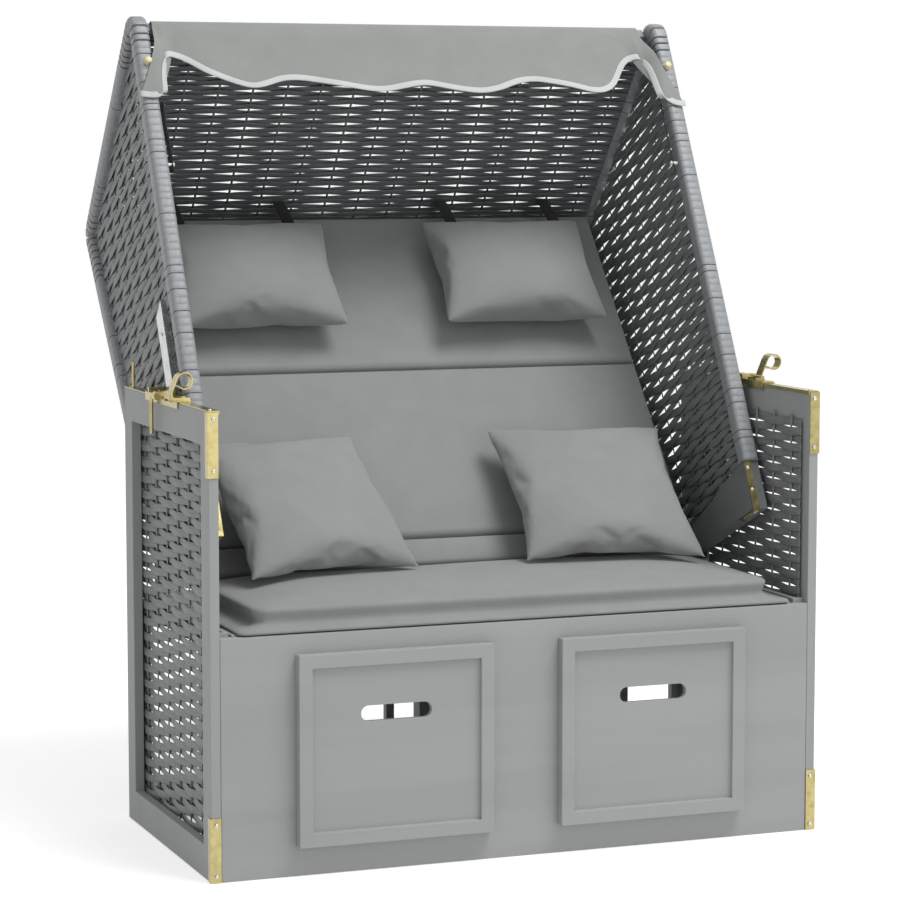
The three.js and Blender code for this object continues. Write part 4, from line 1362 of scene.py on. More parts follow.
@dataclass
class Seat:
    """The seat cushion: a foam slab in a cloth cover with a sewn flange at its foot.

    Attributes:
        low: its underside.
        height: its height to the rim.
        crown: how far its middle stands above the rim.
        half: half its width at the flange.
        rim_inset: how far the sides are drawn in above the flange.
        front: the front of its flange.
        depth: its depth.
        front_run: how far its front rim stands back.
        flange: the flange's height.
    """

    low: float = 434.3
    height: float = 44.0
    crown: float = 20.0
    half: float = 538.0
    rim_inset: float = 36.0
    front: float = -280.0
    depth: float = 376.0
    front_run: float = 20.0
    flange: float = 7.0

    def build(self) -> bpy.types.Object:
        """Stacks rings of a rounded rectangle from the underside to the crown.

        Returns:
            The cushion, which rides on the base and stands for the part's one.
        """
        rim = self.low + self.height
        levels = [
            (self.low, 4.0, 4.0, 14.0),
            (self.low + 1.2, 1.2, 1.2, 15.0),
            (self.low + self.flange / 2, 0.0, 0.0, 15.0),
            (self.low + self.flange - 0.8, 1.5, 1.2, 15.0),
            (self.low + self.flange, 14.0, 6.5, 16.0),
            (self.low + 12.0, self.rim_inset - 4, self.front_run - 2, 20.0),
            (self.low + 18.0, self.rim_inset + 3.5, self.front_run + 3.5, 24.0),
            (self.low + 25.0, self.rim_inset + 3.0, self.front_run + 3.0, 26.0),
            (self.low + 32.0, self.rim_inset, self.front_run, 27.0),
            (rim - 7.0, self.rim_inset - 1.5, self.front_run - 1.5, 28.0),
            (rim - 3.0, self.rim_inset - 0.5, self.front_run - 0.5, 28.0),
            (rim, self.rim_inset + 3.5, self.front_run + 3.5, 28.0),
            (rim + 1.6, self.rim_inset + 9.0, self.front_run + 9.0, 28.0),
        ]
        for share in (0.06, 0.12, 0.2, 0.3, 0.42, 0.55, 0.7, 0.85, 1.0):
            inset = 9 + share * (self.depth / 2 - 16)
            levels.append(
                (
                    rim + 1.6 + (self.crown - 2.4) * math.sin(share * math.pi / 2),
                    self.rim_inset + inset,
                    self.front_run + 9 + (inset - 9) * 0.7,
                    28.0,
                )
            )
        rings = [self._ring(*level) for level in levels]
        places, faces = loft(rings)
        made = new_object("seat_cushion_filled", places, faces, CLOTH)
        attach(made, "base")
        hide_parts("seat_cushion")
        return made

    def _ring(self, height: float, side: float, front: float, radius: float) -> list:
        """One ring of the slab, a rounded rectangle with even places along its edges.

        Args:
            height: its height.
            side: how far its sides are drawn in.
            front: how far its front is drawn in, and its back half as far.
            radius: the radius of its corners.

        Returns:
            Its places.
        """
        half = self.half - side
        y0, y1 = self.front + front, self.front + self.depth - front / 2
        radius = min(radius, (y1 - y0) / 2 - 1)
        places = []
        edges = (
            ((half, y0 + radius), (half, y1 - radius), 14),
            ((half - radius, y1), (-half + radius, y1), 60),
            ((-half, y1 - radius), (-half, y0 + radius), 14),
            ((-half + radius, y0), (half - radius, y0), 60),
        )
        for (xa, ya), (xb, yb), count in edges:
            for step in range(count):
                share = step / count
                x, y = xa + (xb - xa) * share, ya + (yb - ya) * share
                places.append((x, y))
            cx, cy = self._corner(xb, yb, half, y0, y1, radius)
            start = math.atan2(yb - cy, xb - cx)
            for step in range(6):
                angle = start + step * math.pi / 12
                places.append((cx + radius * math.cos(angle), cy + radius * math.sin(angle)))
        above = max(0.0, (height - self.low - self.height) / self.crown)
        out = []
        for x, y in places:
            dent = math.sin(x / 97 + 0.6) * math.sin(y / 61 + 1.1) * 1.6 * above
            out.append((x, y, height + dent - 1.6 * above))
        return out

    @staticmethod
    def _corner(
        x: float, y: float, half: float, y0: float, y1: float, radius: float
    ) -> Point:
        """The centre of the rounded corner that starts at a place."""
        return (
            math.copysign(half - radius, x),
            (y1 - radius) if y > (y0 + y1) / 2 else (y0 + radius),
        )


@dataclass
class BackPads:
    """The backrest: three foam pads in cloth covers, one above the other.

    Attributes:
        half: half their width.
        back: the depth of their flat backs inside the hood's outline.
        face: the depth of their faces.
        crown: how far a face stands out at its middle.
        edge: the radius of a pad's edge.
        spans: each pad's name and where it starts and ends along the back.
    """

    half: float = 520.0
    back: float = 34.3
    face: float = 88.0
    crown: float = 5.0
    edge: float = 7.0
    spans: dict[str, Point] = field(default_factory=dict)

    def __post_init__(self) -> None:
        """Works out where the pads start and end, as the part does."""
        line = HOOD.back_line
        corner = HOOD.roof_line.meet(HOOD.bar_depth, line, HOOD.bar_depth)
        top = line.run_of(corner) - 0.3
        self.spans = {
            "lower": (-28.0, 35.2),
            "middle": (37.0, 433.9),
            "upper": (435.9, top),
        }

    def build(self) -> list[bpy.types.Object]:
        """Makes the three pads.

        Returns:
            The pads, which ride on the hood.
        """
        return [self._pad(name, *span) for name, span in self.spans.items()]

    def _pad(self, name: str, start: float, end: float) -> bpy.types.Object:
        """Makes one pad.

        Args:
            name: its word in the node's name.
            start: where it starts along the back.
            end: where it ends.

        Returns:
            The pad.
        """
        half, middle = (end - start) / 2, (end + start) / 2
        full = self.face - self.crown - self.back

        def place(a: float, b: float, side: int) -> Place:
            """A place of the pad from its two shares and its side."""
            u = math.copysign(1 - (1 - abs(a)) ** 2.4, a)
            v = math.copysign(1 - (1 - abs(b)) ** 2.0, b)
            inset = min((1 - abs(u)) * self.half, (1 - abs(v)) * half)
            share = min(1.0, inset / self.edge)
            rim = math.sqrt(share * (2 - share))
            soft = (1 - u**4) * (1 - v**4)
            ripple = 0.5 * math.sin(u * 21 + 1) * math.sin(v * 5) * soft
            front = full / 2 * (1 + rim) + self.crown * (1 - u * u) * (1 - v * v) + ripple
            rise = front if side > 0 else full / 2 * (1 - rim)
            y, z = HOOD.back_line.at(middle + v * half, self.back + rise)
            return (u * self.half, y, z)

        rows = max(14, int(half / 9))
        places, faces = two_sided(64, rows, place)
        made = new_object(f"backrest_pad_{name}_filled", places, faces, CLOTH, HOOD.matrix)
        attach(made, "hood")
        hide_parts(f"backrest_pad_{name}")
        return made


@dataclass
class Strap:
    """A flat webbing strap from a neck pillow's top seam up to the roof.

    Attributes:
        node: the part's node that it stands for.
        centre: its place across the chair.
        low: its foot in the hood's side plane.
        high: its top.
        width: its width.
        thickness: its thickness.
        slack: how far its middle hangs away from the straight line.
    """

    node: str
    centre: float
    low: Point
    high: Point
    width: float = 25.0
    thickness: float = 1.8
    slack: float = 2.0

    def build(self) -> bpy.types.Object:
        """Lays the strap along its path, which hangs a little slack.

        Returns:
            The strap, which rides on the hood.
        """
        low, high = np.array(self.low), np.array(self.high)
        way = (high - low) / np.linalg.norm(high - low)
        off = np.array([-way[1], way[0]])
        rings = []
        for step in range(17):
            share = step / 16
            middle = low + (high - low) * share + off * self.slack * math.sin(math.pi * share)
            half = self.width / 2
            a = middle + off * self.thickness / 2
            b = middle - off * self.thickness / 2
            left, right = self.centre - half, self.centre + half
            rings.append(
                [
                    (left, *a),
                    (left + 2, *(a + off * 0.3)),
                    (right - 2, *(a + off * 0.3)),
                    (right, *a),
                    (right, *b),
                    (right - 2, *(b - off * 0.3)),
                    (left + 2, *(b - off * 0.3)),
                    (left, *b),
                ]
            )
        places, faces = loft(rings)
        made = new_object(f"{self.node}_webbing", places, faces, WEBBING, HOOD.matrix)
        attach(made, "hood")
        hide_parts(self.node)
        return made


def ramp(value: np.ndarray, start: float, end: float) -> np.ndarray:
    """None up to the start, one from the end on, and even between them."""
    return np.clip((value - start) / (end - start), 0, 1)


@dataclass
class Awning:
    """The awning: one sheet over the front crossbar, with a scalloped and bound hem.

    At each side the hem rises in an arch, and beyond it a narrow flap lies over the hood's
    front bar. All places are in the hood's frame.

    Attributes:
        hem: places along the lower edge, from the left flap to the right one.
        top_half: half the width at the crossbar.
        belly: how far the hem stands in front of the crossbar.
        fold: how deep the folds above the scallops are.
        pitch: from one fold to the next.
        bar_face: the place of the cloth in front of a front bar.
        rows: rows of the cloth below the crossbar.
        columns: its columns.
        tape: the width of the hem's binding.
        pleat: how far the cloth between the flaps stands in front of them at the crossbar.
        flap: where across the chair a flap's own fall starts, and where it is full.
        pleat_end: where across the chair the pleat is full, and where it ends.
        bar_reach: where the cloth starts to lie against a front bar, and where it does.
        lap: how far the tape reaches beyond the hem.
    """

    hem: tuple[Point, ...] = (
        (-562, 839), (-540, 835), (-517, 836), (-515, 842), (-515, 868), (-513, 892),
        (-505, 922), (-492, 936), (-478, 939), (-456, 928), (-418, 901), (-374, 879),
        (-345, 868), (-326, 866), (-299, 875), (-269, 888), (-240, 891), (-213, 888),
        (-166, 877), (-121, 866), (-90, 862), (-60, 864), (-21, 874), (10, 881),
        (30, 881), (66, 870), (100, 862), (137, 859), (177, 868), (212, 884), (237, 891),
        (260, 891), (290, 884), (336, 872), (372, 862), (400, 863), (425, 878), (442, 905),
        (456, 930), (470, 941), (485, 944), (499, 934), (507, 905), (511, 870), (515, 842),
        (519, 832), (540, 822), (558, 823),
    )
    top_half: float = 508.0
    belly: float = 14.0
    fold: float = 5.0
    pitch: float = 233.0
    bar_face: float = -328.5
    rows: int = 26
    columns: int = 300
    tape: float = 11.5
    pleat: float = 4.0
    flap: Point = (505.0, 517.0)
    pleat_end: Point = (493.0, 498.0)
    bar_reach: Point = (470.0, 525.0)
    lap: float = 0.9

    def _edge(self) -> np.ndarray:
        """The hem as even places, softened but for its two corners.

        Returns:
            Rows of place across and height.
        """
        points = np.array(self.hem, float)
        run = np.concatenate([[0], np.cumsum(np.linalg.norm(np.diff(points, axis=0), axis=1))])
        even = np.linspace(0, run[-1], self.columns)
        line = np.stack([np.interp(even, run, points[:, k]) for k in (0, 1)], 1)
        reach = 7
        kernel = np.exp(-0.5 * (np.arange(-reach, reach + 1) / 2.6) ** 2)
        kernel /= kernel.sum()
        padded = np.concatenate([line[:1].repeat(reach, 0), line, line[-1:].repeat(reach, 0)])
        soft = np.stack([np.convolve(padded[:, k], kernel, "valid") for k in (0, 1)], 1)
        soft[0], soft[-1] = line[0], line[-1]
        return soft

    def _shape(self) -> tuple[list, list]:
        """The sheet's rows of places, and the places along its hem.

        Returns:
            The rows from the crossbar down, and the last of them.
        """
        roof = HOOD.roof_line
        start = roof.run_of(HOOD.front_line.meet(HOOD.bar_depth, roof, HOOD.bar_depth))
        bar_front = HOOD.front_line.at(0, HOOD.bar_depth)[0] - 1.8
        bar_top = roof.at(start, 1.7)[1]
        edge = self._edge()
        share = np.linspace(-1, 1, self.columns)
        top = self.top_half * (0.85 * edge[:, 0] / np.abs(edge[:, 0]).max() + 0.15 * share)
        rows = []
        for run, depth in ((38, 0.9), (24, 0.6), (12, 0.5), (4, 0.7)):
            y, z = roof.at(start + run, depth)
            rows.append([(x, y, z) for x in top])
        corner = ((bar_front + 6.5, bar_top - 0.8), (bar_front + 2.2, bar_top - 4.5))
        rows.extend([[(x, y, z) for x in top] for y, z in corner])
        flap = ramp(np.abs(edge[:, 0]), *self.flap)
        high = bar_top - 10
        for row in range(self.rows + 1):
            drop = row / self.rows
            across = top + (edge[:, 0] - top) * drop ** (1.9 - 0.4 * flap)
            height = high + (edge[:, 1] - high) * drop
            wave = np.cos(math.tau * across / self.pitch)
            depth = bar_front - self.belly * drop**2 + self.fold * drop**2 * wave
            depth += 1.6 * drop * np.sin(across / 31.0) * np.sin(height / 47.0)
            inside = ramp(np.abs(across), *self.pleat_end[::-1])
            depth -= self.pleat * inside * min(1.0, 6 * drop) * (1 - drop) ** 0.6
            # The cloth comes to the bar as it falls: at the crossbar it is still flat.
            over = ramp(np.abs(across), *self.bar_reach)
            low = min(1.0, 2.5 * drop)
            over = over * over * (3 - 2 * over) * low * low * (3 - 2 * low)
            depth = depth * (1 - over) + self.bar_face * over
            rows.append(list(zip(across, depth, height)))
        return rows, rows[-1]

    def build(self) -> list[bpy.types.Object]:
        """Makes the sheet and its binding.

        Returns:
            The two pieces, which ride on the hood.
        """
        rows, hem = self._shape()
        places = [p for row in rows for p in row]
        count = self.columns
        faces = [
            (r * count + c, r * count + c + 1, (r + 1) * count + c + 1, (r + 1) * count + c)
            for r in range(len(rows) - 1)
            for c in range(count - 1)
        ]
        cloth = new_object("awning_cloth", places, faces, AWNING_CLOTH, HOOD.matrix)
        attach(cloth, "hood")
        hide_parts("awning")
        binding = self._binding(hem, rows[-2])
        return [cloth, binding]

    def _binding(self, hem: Sequence, above: Sequence) -> bpy.types.Object:
        """The pale tape that is folded over the hem and sewn down.

        Args:
            hem: the places along the hem.
            above: the places of the cloth's row above it.

        Returns:
            The tape.
        """
        line, upper = np.array(hem), np.array(above)
        way = np.gradient(line, axis=0)
        way /= np.linalg.norm(way, axis=1, keepdims=True)
        inward = upper - line
        inward -= way * np.sum(inward * way, axis=1, keepdims=True)
        inward /= np.linalg.norm(inward, axis=1, keepdims=True)
        for _ in range(4):
            inward[1:-1] = (inward[:-2] + 2 * inward[1:-1] + inward[2:]) / 4
            inward /= np.linalg.norm(inward, axis=1, keepdims=True)
        out = np.cross(way, inward)
        section = (
            (-self.lap, 0.0), (-0.5, 0.9), (1.0, 1.25), (self.tape - 1.2, 1.15), (self.tape, 0.6),
            (self.tape, -0.6), (self.tape - 1.2, -1.15), (1.0, -1.25), (-0.5, -0.9),
        )
        rings = [
            [tuple(line[i] + inward[i] * a + out[i] * b) for a, b in section]
            for i in range(len(line))
        ]
        places, faces = loft(rings)
        tape = new_object("awning_hem_binding", places, faces, HEM_TAPE, HOOD.matrix)
        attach(tape, "hood")
        return tape


@dataclass
class AwningTie:
    """The black elastic that holds a flap to its peg, with the peg and the hook above it.

    Attributes:
        side: the side of the chair.
        across: the elastic's place across the chair.
        depth: its place in depth.
        high: its upper end.
        low: the peg's height.
        width: the elastic's width.
        facing: the way of its width, across the chair and in depth.
        peg_length: how far the peg stands out.
        hook_across: the hook's place across the chair.
        hook_height: the hook's height on the front bar.
    """

    side: Side
    across: float = 518.0
    depth: float = -306.0
    high: float = 838.0
    low: float = 706.3
    width: float = 9.0
    facing: Point = (0.72, 0.69)
    peg_length: float = 14.0
    hook_across: float = 537.0
    hook_height: float = 914.0

    def build(self) -> list[bpy.types.Object]:
        """Makes the elastic, the peg and the hook.

        Returns:
            The three pieces, which ride on the hood.
        """
        hand = self.side.value
        half, thick = self.width / 2, 0.8
        a = (self.facing[0] * half, self.facing[1] * half * hand)
        b = (self.facing[1] * thick, -self.facing[0] * thick * hand)
        rings = []
        for step in range(25):
            share = step / 24
            z = self.high + (self.low - 16 - self.high) * share
            x = hand * (self.across - 2.5 + 1.2 * math.sin(share * 7))
            y = self.depth + 1.5 * math.sin(share * 5)
            rings.append(
                [
                    (x + a[0] * p + b[0] * q, y + a[1] * p + b[1] * q, z)
                    for p, q in ((1, 0.4), (0.8, 1), (-0.8, 1), (-1, 0.4),
                                 (-1, -0.4), (-0.8, -1), (0.8, -1), (1, -0.4))
                ]
            )
        places, faces = loft(rings)
        word = self.side.word
        band = new_object(f"awning_elastic_{word}", places, faces, ELASTIC, HOOD.matrix)
        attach(band, "hood")
        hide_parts(f"awning_strap_{word}")
        inner = HOOD.inner - 0.5
        peg = turned(
            f"awning_peg_{word}",
            [(0.0, 3.4), (1.5, 4.6), (4.0, 4.6), (5.0, 3.2), (9.0, 3.0), (12.5, 3.4), (14.0, 4.4)],
            (hand * (inner - self.peg_length), self.depth, self.low),
            (hand, 0, 0),
            WHITE,
        )
        hook = turned(
            f"awning_hook_{word}",
            [(0.0, 7.5), (2.0, 7.5), (3.0, 5.0), (6.0, 4.6), (7.5, 6.4), (9.5, 6.8), (11.0, 5.4)],
            (hand * self.hook_across, -HOOD.front + 0.5, self.hook_height),
            (0, -1, 0),
            CREAM,
        )
        for piece in (peg, hook):
            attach(piece, "hood")
        return [band, peg, hook]


def axis_frame(way: Place) -> tuple[Vector, Vector, Vector]:
    """An axis, and two directions square to it and to each other."""
    axis = Vector(way).normalized()
    side = axis.orthogonal().normalized()
    return axis, side, axis.cross(side)


def turned(
    name: str,
    profile: Sequence[Point],
    foot: Place,
    way: Place,
    finish: Finish,
    matrix: Matrix | None = None,
) -> bpy.types.Object:
    """A turned piece, such as a peg or a knob.

    Args:
        name: the piece's name.
        profile: its distance along the axis and its radius, from the foot on.
        foot: where its axis starts.
        way: the axis.
        finish: what it is made of.
        matrix: the frame that foot and way are in, the hood's where it isn't given.

    Returns:
        The piece.
    """
    axis, side, other = axis_frame(way)
    angles = [i * math.tau / 20 for i in range(20)]
    rings = [
        [
            tuple(
                Vector(foot)
                + axis * run
                + side * radius * math.cos(angle)
                + other * radius * math.sin(angle)
            )
            for angle in angles
        ]
        for run, radius in profile
    ]
    places, faces = loft(rings)
    return new_object(name, places, faces, finish, matrix or HOOD.matrix)


@dataclass
class Screws:
    """Pan-head screws with a recess, all on one body.

    Attributes:
        name: the piece's name.
        body: the body that they ride on.
        heads: each head's foot and the way it faces.
        finish: their finish.
        radius: a head's radius.
        height: a head's height.
        matrix: the frame of the places, the chair's where it isn't given.
    """

    name: str
    body: str
    heads: list[tuple[Place, Place]]
    finish: Finish
    radius: float = 3.6
    height: float = 1.9
    matrix: Matrix | None = None

    def build(self) -> bpy.types.Object:
        """Makes every head in one mesh.

        Returns:
            The screws, which ride on their body.
        """
        places: list = []
        faces: list = []
        # The last three rings are the cross recess.
        profile = (
            (0.0, 1.0), (0.45, 1.0), (0.8, 0.85), (1.0, 0.55),
            (1.0, 0.34), (0.35, 0.26), (0.3, 0.05),
        )
        recess, corners = 0.4, 18
        for foot, way in self.heads:
            axis, side, other = axis_frame(way)
            base = len(places)
            for run, share in profile:
                for i in range(corners):
                    angle = i * math.tau / corners
                    radius = share * self.radius
                    if share < recess:
                        radius *= 0.75 + 0.35 * math.cos(4 * angle)
                    places.append(
                        tuple(
                            Vector(foot)
                            + axis * run * self.height
                            + side * radius * math.cos(angle)
                            + other * radius * math.sin(angle)
                        )
                    )
            faces.extend(tube_faces(base, len(profile), corners))
        made = new_object(self.name, places, faces, self.finish, self.matrix)
        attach(made, self.body)
        return made


@dataclass
class Base:
    """The wooden base with its woven sides, footrests and fittings.

    Attributes:
        arm: the height of the arms.
        weave_middle: from the middle to the middle of a side's weave.
        front: the place of the base's front face.
        edge: how far the boards' edges are rounded.
        screw_across: a screw's place across the chair.
        angle_height: the height of a corner angle.
        angle_holes: the height of its two screws above its foot.
        angle_face: how far its face stands before the base's.
        rail_holes: the place in depth of an arm rail's two screws.
        rail_face: how far the rail's face stands above the arm.
    """

    arm: float = 828.0
    weave_middle: float = 566.8
    front: float = -280.0
    edge: float = 1.4
    screw_across: float = 581.0
    angle_height: float = 115.0
    angle_holes: Point = (12.0, 103.0)
    angle_face: float = 2.6
    rail_holes: Point = (-262.0, 262.0)
    rail_face: float = 2.2

    def build(self) -> list[bpy.types.Object]:
        """Dresses the boards and the fittings and weaves the sides.

        Returns:
            Every piece of the base.
        """
        made = [
            dress_node("front_board", FIR_ACROSS, self.edge),
            dress_node("rear_frame", FIR_ACROSS, self.edge),
            dress_node("centre_frame", FIR_DEEP, self.edge),
            dress_node("seat_deck", FIR_ACROSS, self.edge),
        ]
        for side in Side:
            word = side.word
            made.extend(
                [
                    dress_node(f"side_frame_{word}", FIR_UP, self.edge),
                    dress_node(f"seat_bearer_{word}", FIR_DEEP, self.edge),
                    dress_node(f"footrest_runner_{word}", FIR_DEEP, 0.8),
                    dress_node(f"footrest_panel_{word}", FIR_ACROSS, 1.2),
                    dress_node(f"footrest_carriage_{word}", FIR_DEEP, self.edge),
                    dress_node(f"arm_rail_{word}", BRASS, 0.35),
                    dress_node(f"corner_angle_lower_{word}", BRASS, 0.35),
                    dress_node(f"corner_angle_upper_{word}", BRASS, 0.35),
                    dress_node(f"pivot_bracket_{word}", ZINC, 0.5),
                    dress_node(f"latch_carriage_{word}", BRASS, 0.4),
                    dress_node(f"latch_loop_{word}", BRASS, 0.3),
                    dress_node(f"latch_rod_{word}", BRASS),
                    self._side_weave(side),
                    self._screws(side),
                ]
            )
        return made

    def _side_weave(self, side: Side) -> bpy.types.Object:
        """Weaves one side panel of the base."""
        matrix = axes_matrix((side.value * self.weave_middle, 0, 0), (0, 1, 0), (0, 0, 1))
        return Weave(
            node=f"side_weave_{side.word}",
            body="base",
            outline=[(-254, 47), (254, 47), (254, 781), (-254, 781)],
            matrix=matrix,
            finish=STRAND,
            stakes=72.0,
            stake_width=9.0,
            relief=2.8,
            opening=(2.6, 5.4),
            tuck=1.5,
            seed=11 + side.value,
            steps=8,
        ).build()

    def _screws(self, side: Side) -> bpy.types.Object:
        """The screws of one side's corner angles and arm rail."""
        face, across = self.front - self.angle_face, side.value * self.screw_across
        heads: list[tuple[Place, Place]] = []
        for foot in (0.0, self.arm - self.angle_height):
            for hole in self.angle_holes:
                heads.append(((across, face, foot + hole), (0, -1, 0)))
        for depth in self.rail_holes:
            heads.append(((across, depth, self.arm + self.rail_face), (0, 0, 1)))
        return Screws(f"base_screws_{side.word}", "base", heads, SILVER).build()


@dataclass
class Hood:
    """The woven hood: its wrapped bars, woven panels, boards and fittings.

    Attributes:
        side_middle: from the middle to the middle of a side's weave.
        weave_half: half the width of the roof's and the back's weave.
        edge: how far the boards' edges are rounded.
        guide_face: the guide bar's outer face, from the middle.
        guide_depth: the place in depth of its screws.
        guide_holes: their heights.
        corner_across: the brass corner's screws, from the middle.
        corner_face: the place in depth of its face.
        corner_holes: the heights of its screws.
    """

    side_middle: float = 542.0
    weave_half: float = 523.7
    edge: float = 1.4
    guide_face: float = 559.9
    guide_depth: float = -237.5
    guide_holes: Point = (230.0, 392.0)
    corner_across: float = 531.0
    corner_face: float = -317.8
    corner_holes: Point = (6.0, 50.0)

    def build(self) -> list[bpy.types.Object]:
        """Makes and dresses everything that tilts with the hood but its soft pieces.

        Returns:
            Every such piece.
        """
        made = [
            self._roof(),
            self._back(),
            dress_node("top_crossbar", WRAP, self.edge),
            dress_node("rear_crossbar", FIR_ACROSS, self.edge),
            dress_node("bottom_crossbar", FIR_ACROSS, self.edge),
        ]
        for side in Side:
            word = side.word
            made.extend(
                [
                    WrappedBar(side).build(),
                    self._side(side),
                    dress_node(f"hood_foot_board_{word}", FIR_DARK, self.edge),
                    dress_node(f"hood_corner_{word}", BRASS, 0.4),
                    dress_node(f"guide_bar_{word}", SILVER, 0.5),
                    self._screws(side),
                ]
            )
        return made

    def _roof(self) -> bpy.types.Object:
        """Weaves the roof."""
        roof, front, back = HOOD.roof_line, HOOD.front_line, HOOD.back_line
        depth = HOOD.bar_depth
        start = roof.run_of(front.meet(depth, roof, depth))
        end = roof.run_of(roof.meet(depth, back, depth))
        y, z = roof.at(0, HOOD.weave_depth)
        matrix = HOOD.plane((0, y, z), (1, 0, 0), (0, *roof.way))
        half = self.weave_half
        return Weave(
            node="hood_roof_weave",
            body="hood",
            outline=[(-half, start), (half, start), (half, end), (-half, end)],
            matrix=matrix,
            # This darker strand paints the shade under the roof.
            finish=ROOF_STRAND,
            strand=13.0,
            pitch=11.75,
            stakes=70.0,
            opening=(8.0, 11.5),
            tuck=1.5,
            seed=21,
        ).build()

    def _back(self) -> bpy.types.Object:
        """Weaves the back."""
        line = HOOD.back_line
        depth = HOOD.bar_depth
        end = line.run_of(HOOD.roof_line.meet(depth, line, depth))
        y, z = line.at(0, HOOD.weave_depth)
        matrix = HOOD.plane((0, y, z), (1, 0, 0), (0, *line.way))
        half = self.weave_half
        return Weave(
            node="hood_back_weave",
            body="hood",
            outline=[(-half, 1), (half, 1), (half, end), (-half, end)],
            matrix=matrix,
            finish=STRAND,
            strand=17.0,
            stakes=70.0,
            opening=(6.0, 9.5),
            tuck=1.5,
            seed=22,
        ).build()

    def _side(self, side: Side) -> bpy.types.Object:
        """Weaves one side of the hood."""
        depth = HOOD.bar_depth
        front, roof, back = HOOD.front_line, HOOD.roof_line, HOOD.back_line
        outline = [
            (-HOOD.front + depth, HOOD.board_top),
            back.at(HOOD.back_foot, depth),
            roof.meet(depth, back, depth),
            front.meet(depth, roof, depth),
        ]
        plane = ((side.value * self.side_middle, 0, 0), (0, 1, 0), (0, 0, 1))
        return Weave(
            node=f"hood_side_weave_{side.word}",
            body="hood",
            outline=outline,
            matrix=HOOD.plane(*plane),
            level=axes_matrix(*plane),
            finish=TILTED_STRAND,
            strand=16.6,
            pitch=15.3,
            stakes=66.0,
            relief=2.2,
            opening=(7.0, 13.5),
            tuck=7.0,
            seed=31 + side.value,
        ).build()

    def _screws(self, side: Side) -> bpy.types.Object:
        """The screws of one guide bar and one brass corner."""
        hand = side.value
        heads: list[tuple[Place, Place]] = []
        for height in self.guide_holes:
            heads.append(((hand * self.guide_face, self.guide_depth, height), (hand, 0, 0)))
        for height in self.corner_holes:
            heads.append(((hand * self.corner_across, self.corner_face, height), (0, -1, 0)))
        return Screws(
            f"hood_screws_{side.word}", "hood", heads, SILVER, matrix=HOOD.matrix
        ).build()


@dataclass
class Upholstery:
    """The seat cushion, the backrest, the pillows, the awning and their straps.

    Attributes:
        neck_offset: a neck pillow's place across the chair.
        neck_low: where its bottom seam lies along the back.
        neck_size: its width, height and thickness.
        pad_face: the depth of the backrest's face.
        scatter_place: a scatter pillow's seam on the seat.
        scatter_size: its width, height and thickness.
        scatter_recline: how far it leans back, in degrees.
        scatter_yaw: how far it turns to the middle, in degrees.
        scatter_skew: how far the top of each has slipped sideways.
        strap_offsets: the straps' places from a neck pillow's middle.
        pressed: how far a neck pillow is pressed into the backrest's face.
        strap_tuck: how far a strap runs down into the pillow's seam.
        strap_gap: how far its top ends below the roof's weave.
    """

    neck_offset: float = 279.0
    neck_low: float = 498.0
    neck_size: Place = (346.0, 252.0, 124.0)
    pad_face: float = 88.0
    scatter_place: Place = (280.0, -61.0, 498.6)
    scatter_size: Place = (352.0, 342.0, 116.0)
    scatter_recline: float = 48.0
    scatter_yaw: float = 10.0
    scatter_skew: dict[Side, float] = field(
        default_factory=lambda: {Side.LEFT: -6.0, Side.RIGHT: -30.0}
    )
    strap_offsets: dict[str, float] = field(
        default_factory=lambda: {"inner": -104.0, "outer": 125.0}
    )
    pressed: float = 1.1
    strap_tuck: float = 4.0
    strap_gap: float = 1.5

    def build(self) -> list[bpy.types.Object]:
        """Makes every soft piece.

        Returns:
            The pieces.
        """
        made = [Seat().build(), *BackPads().build(), *Awning().build()]
        for side in Side:
            made.append(self._neck(side))
            made.append(self._scatter(side))
            made.extend(self._straps(side))
            made.extend(AwningTie(side).build())
        return made

    @property
    def neck_depth(self) -> float:
        """The depth of a neck pillow's middle inside the hood's outline."""
        return self.pad_face - self.pressed + self.neck_size[2] / 2

    def _neck(self, side: Side) -> bpy.types.Object:
        """Makes one neck pillow."""
        y, z = HOOD.back_line.at(self.neck_low, self.neck_depth)
        matrix = (
            HOOD.matrix
            @ Matrix.Translation(Vector((side.value * self.neck_offset, y, z)) * MM)
            @ Matrix.Rotation(math.radians(90 - BACK_LEAN), 4, "X")
        )
        return Pillow(
            f"neck_pillow_{side.word}", "hood", *self.neck_size, matrix, seed=41 + side.value
        ).build()

    def _scatter(self, side: Side) -> bpy.types.Object:
        """Makes one scatter pillow."""
        x, y, z = self.scatter_place
        matrix = (
            Matrix.Translation(Vector((side.value * x, y, z)) * MM)
            @ Matrix.Rotation(math.radians(-side.value * self.scatter_yaw), 4, "Z")
            @ Matrix.Rotation(math.radians(90 - self.scatter_recline), 4, "X")
        )
        return Pillow(
            f"scatter_pillow_{side.word}",
            f"pillow_{side.word}",
            *self.scatter_size,
            matrix,
            sits=0.7,
            skew=self.scatter_skew[side],
            seed=51 + side.value,
        ).build()

    def _straps(self, side: Side) -> list[bpy.types.Object]:
        """Makes the two straps of one neck pillow."""
        line = HOOD.back_line
        made = []
        for word, offset in self.strap_offsets.items():
            share = offset / (self.neck_size[0] / 2)
            seam = self.neck_size[1] - Pillow.pinch * (1 - share * share)
            low = line.at(self.neck_low + seam - self.strap_tuck, self.neck_depth)
            high = HOOD.roof_line.meet(
                HOOD.bar_depth + self.strap_gap, line, (self.pad_face + self.neck_depth) / 2
            )
            made.append(
                Strap(
                    f"neck_strap_{side.word}_{word}",
                    side.value * (self.neck_offset + offset),
                    low,
                    high,
                ).build()
            )
        return made


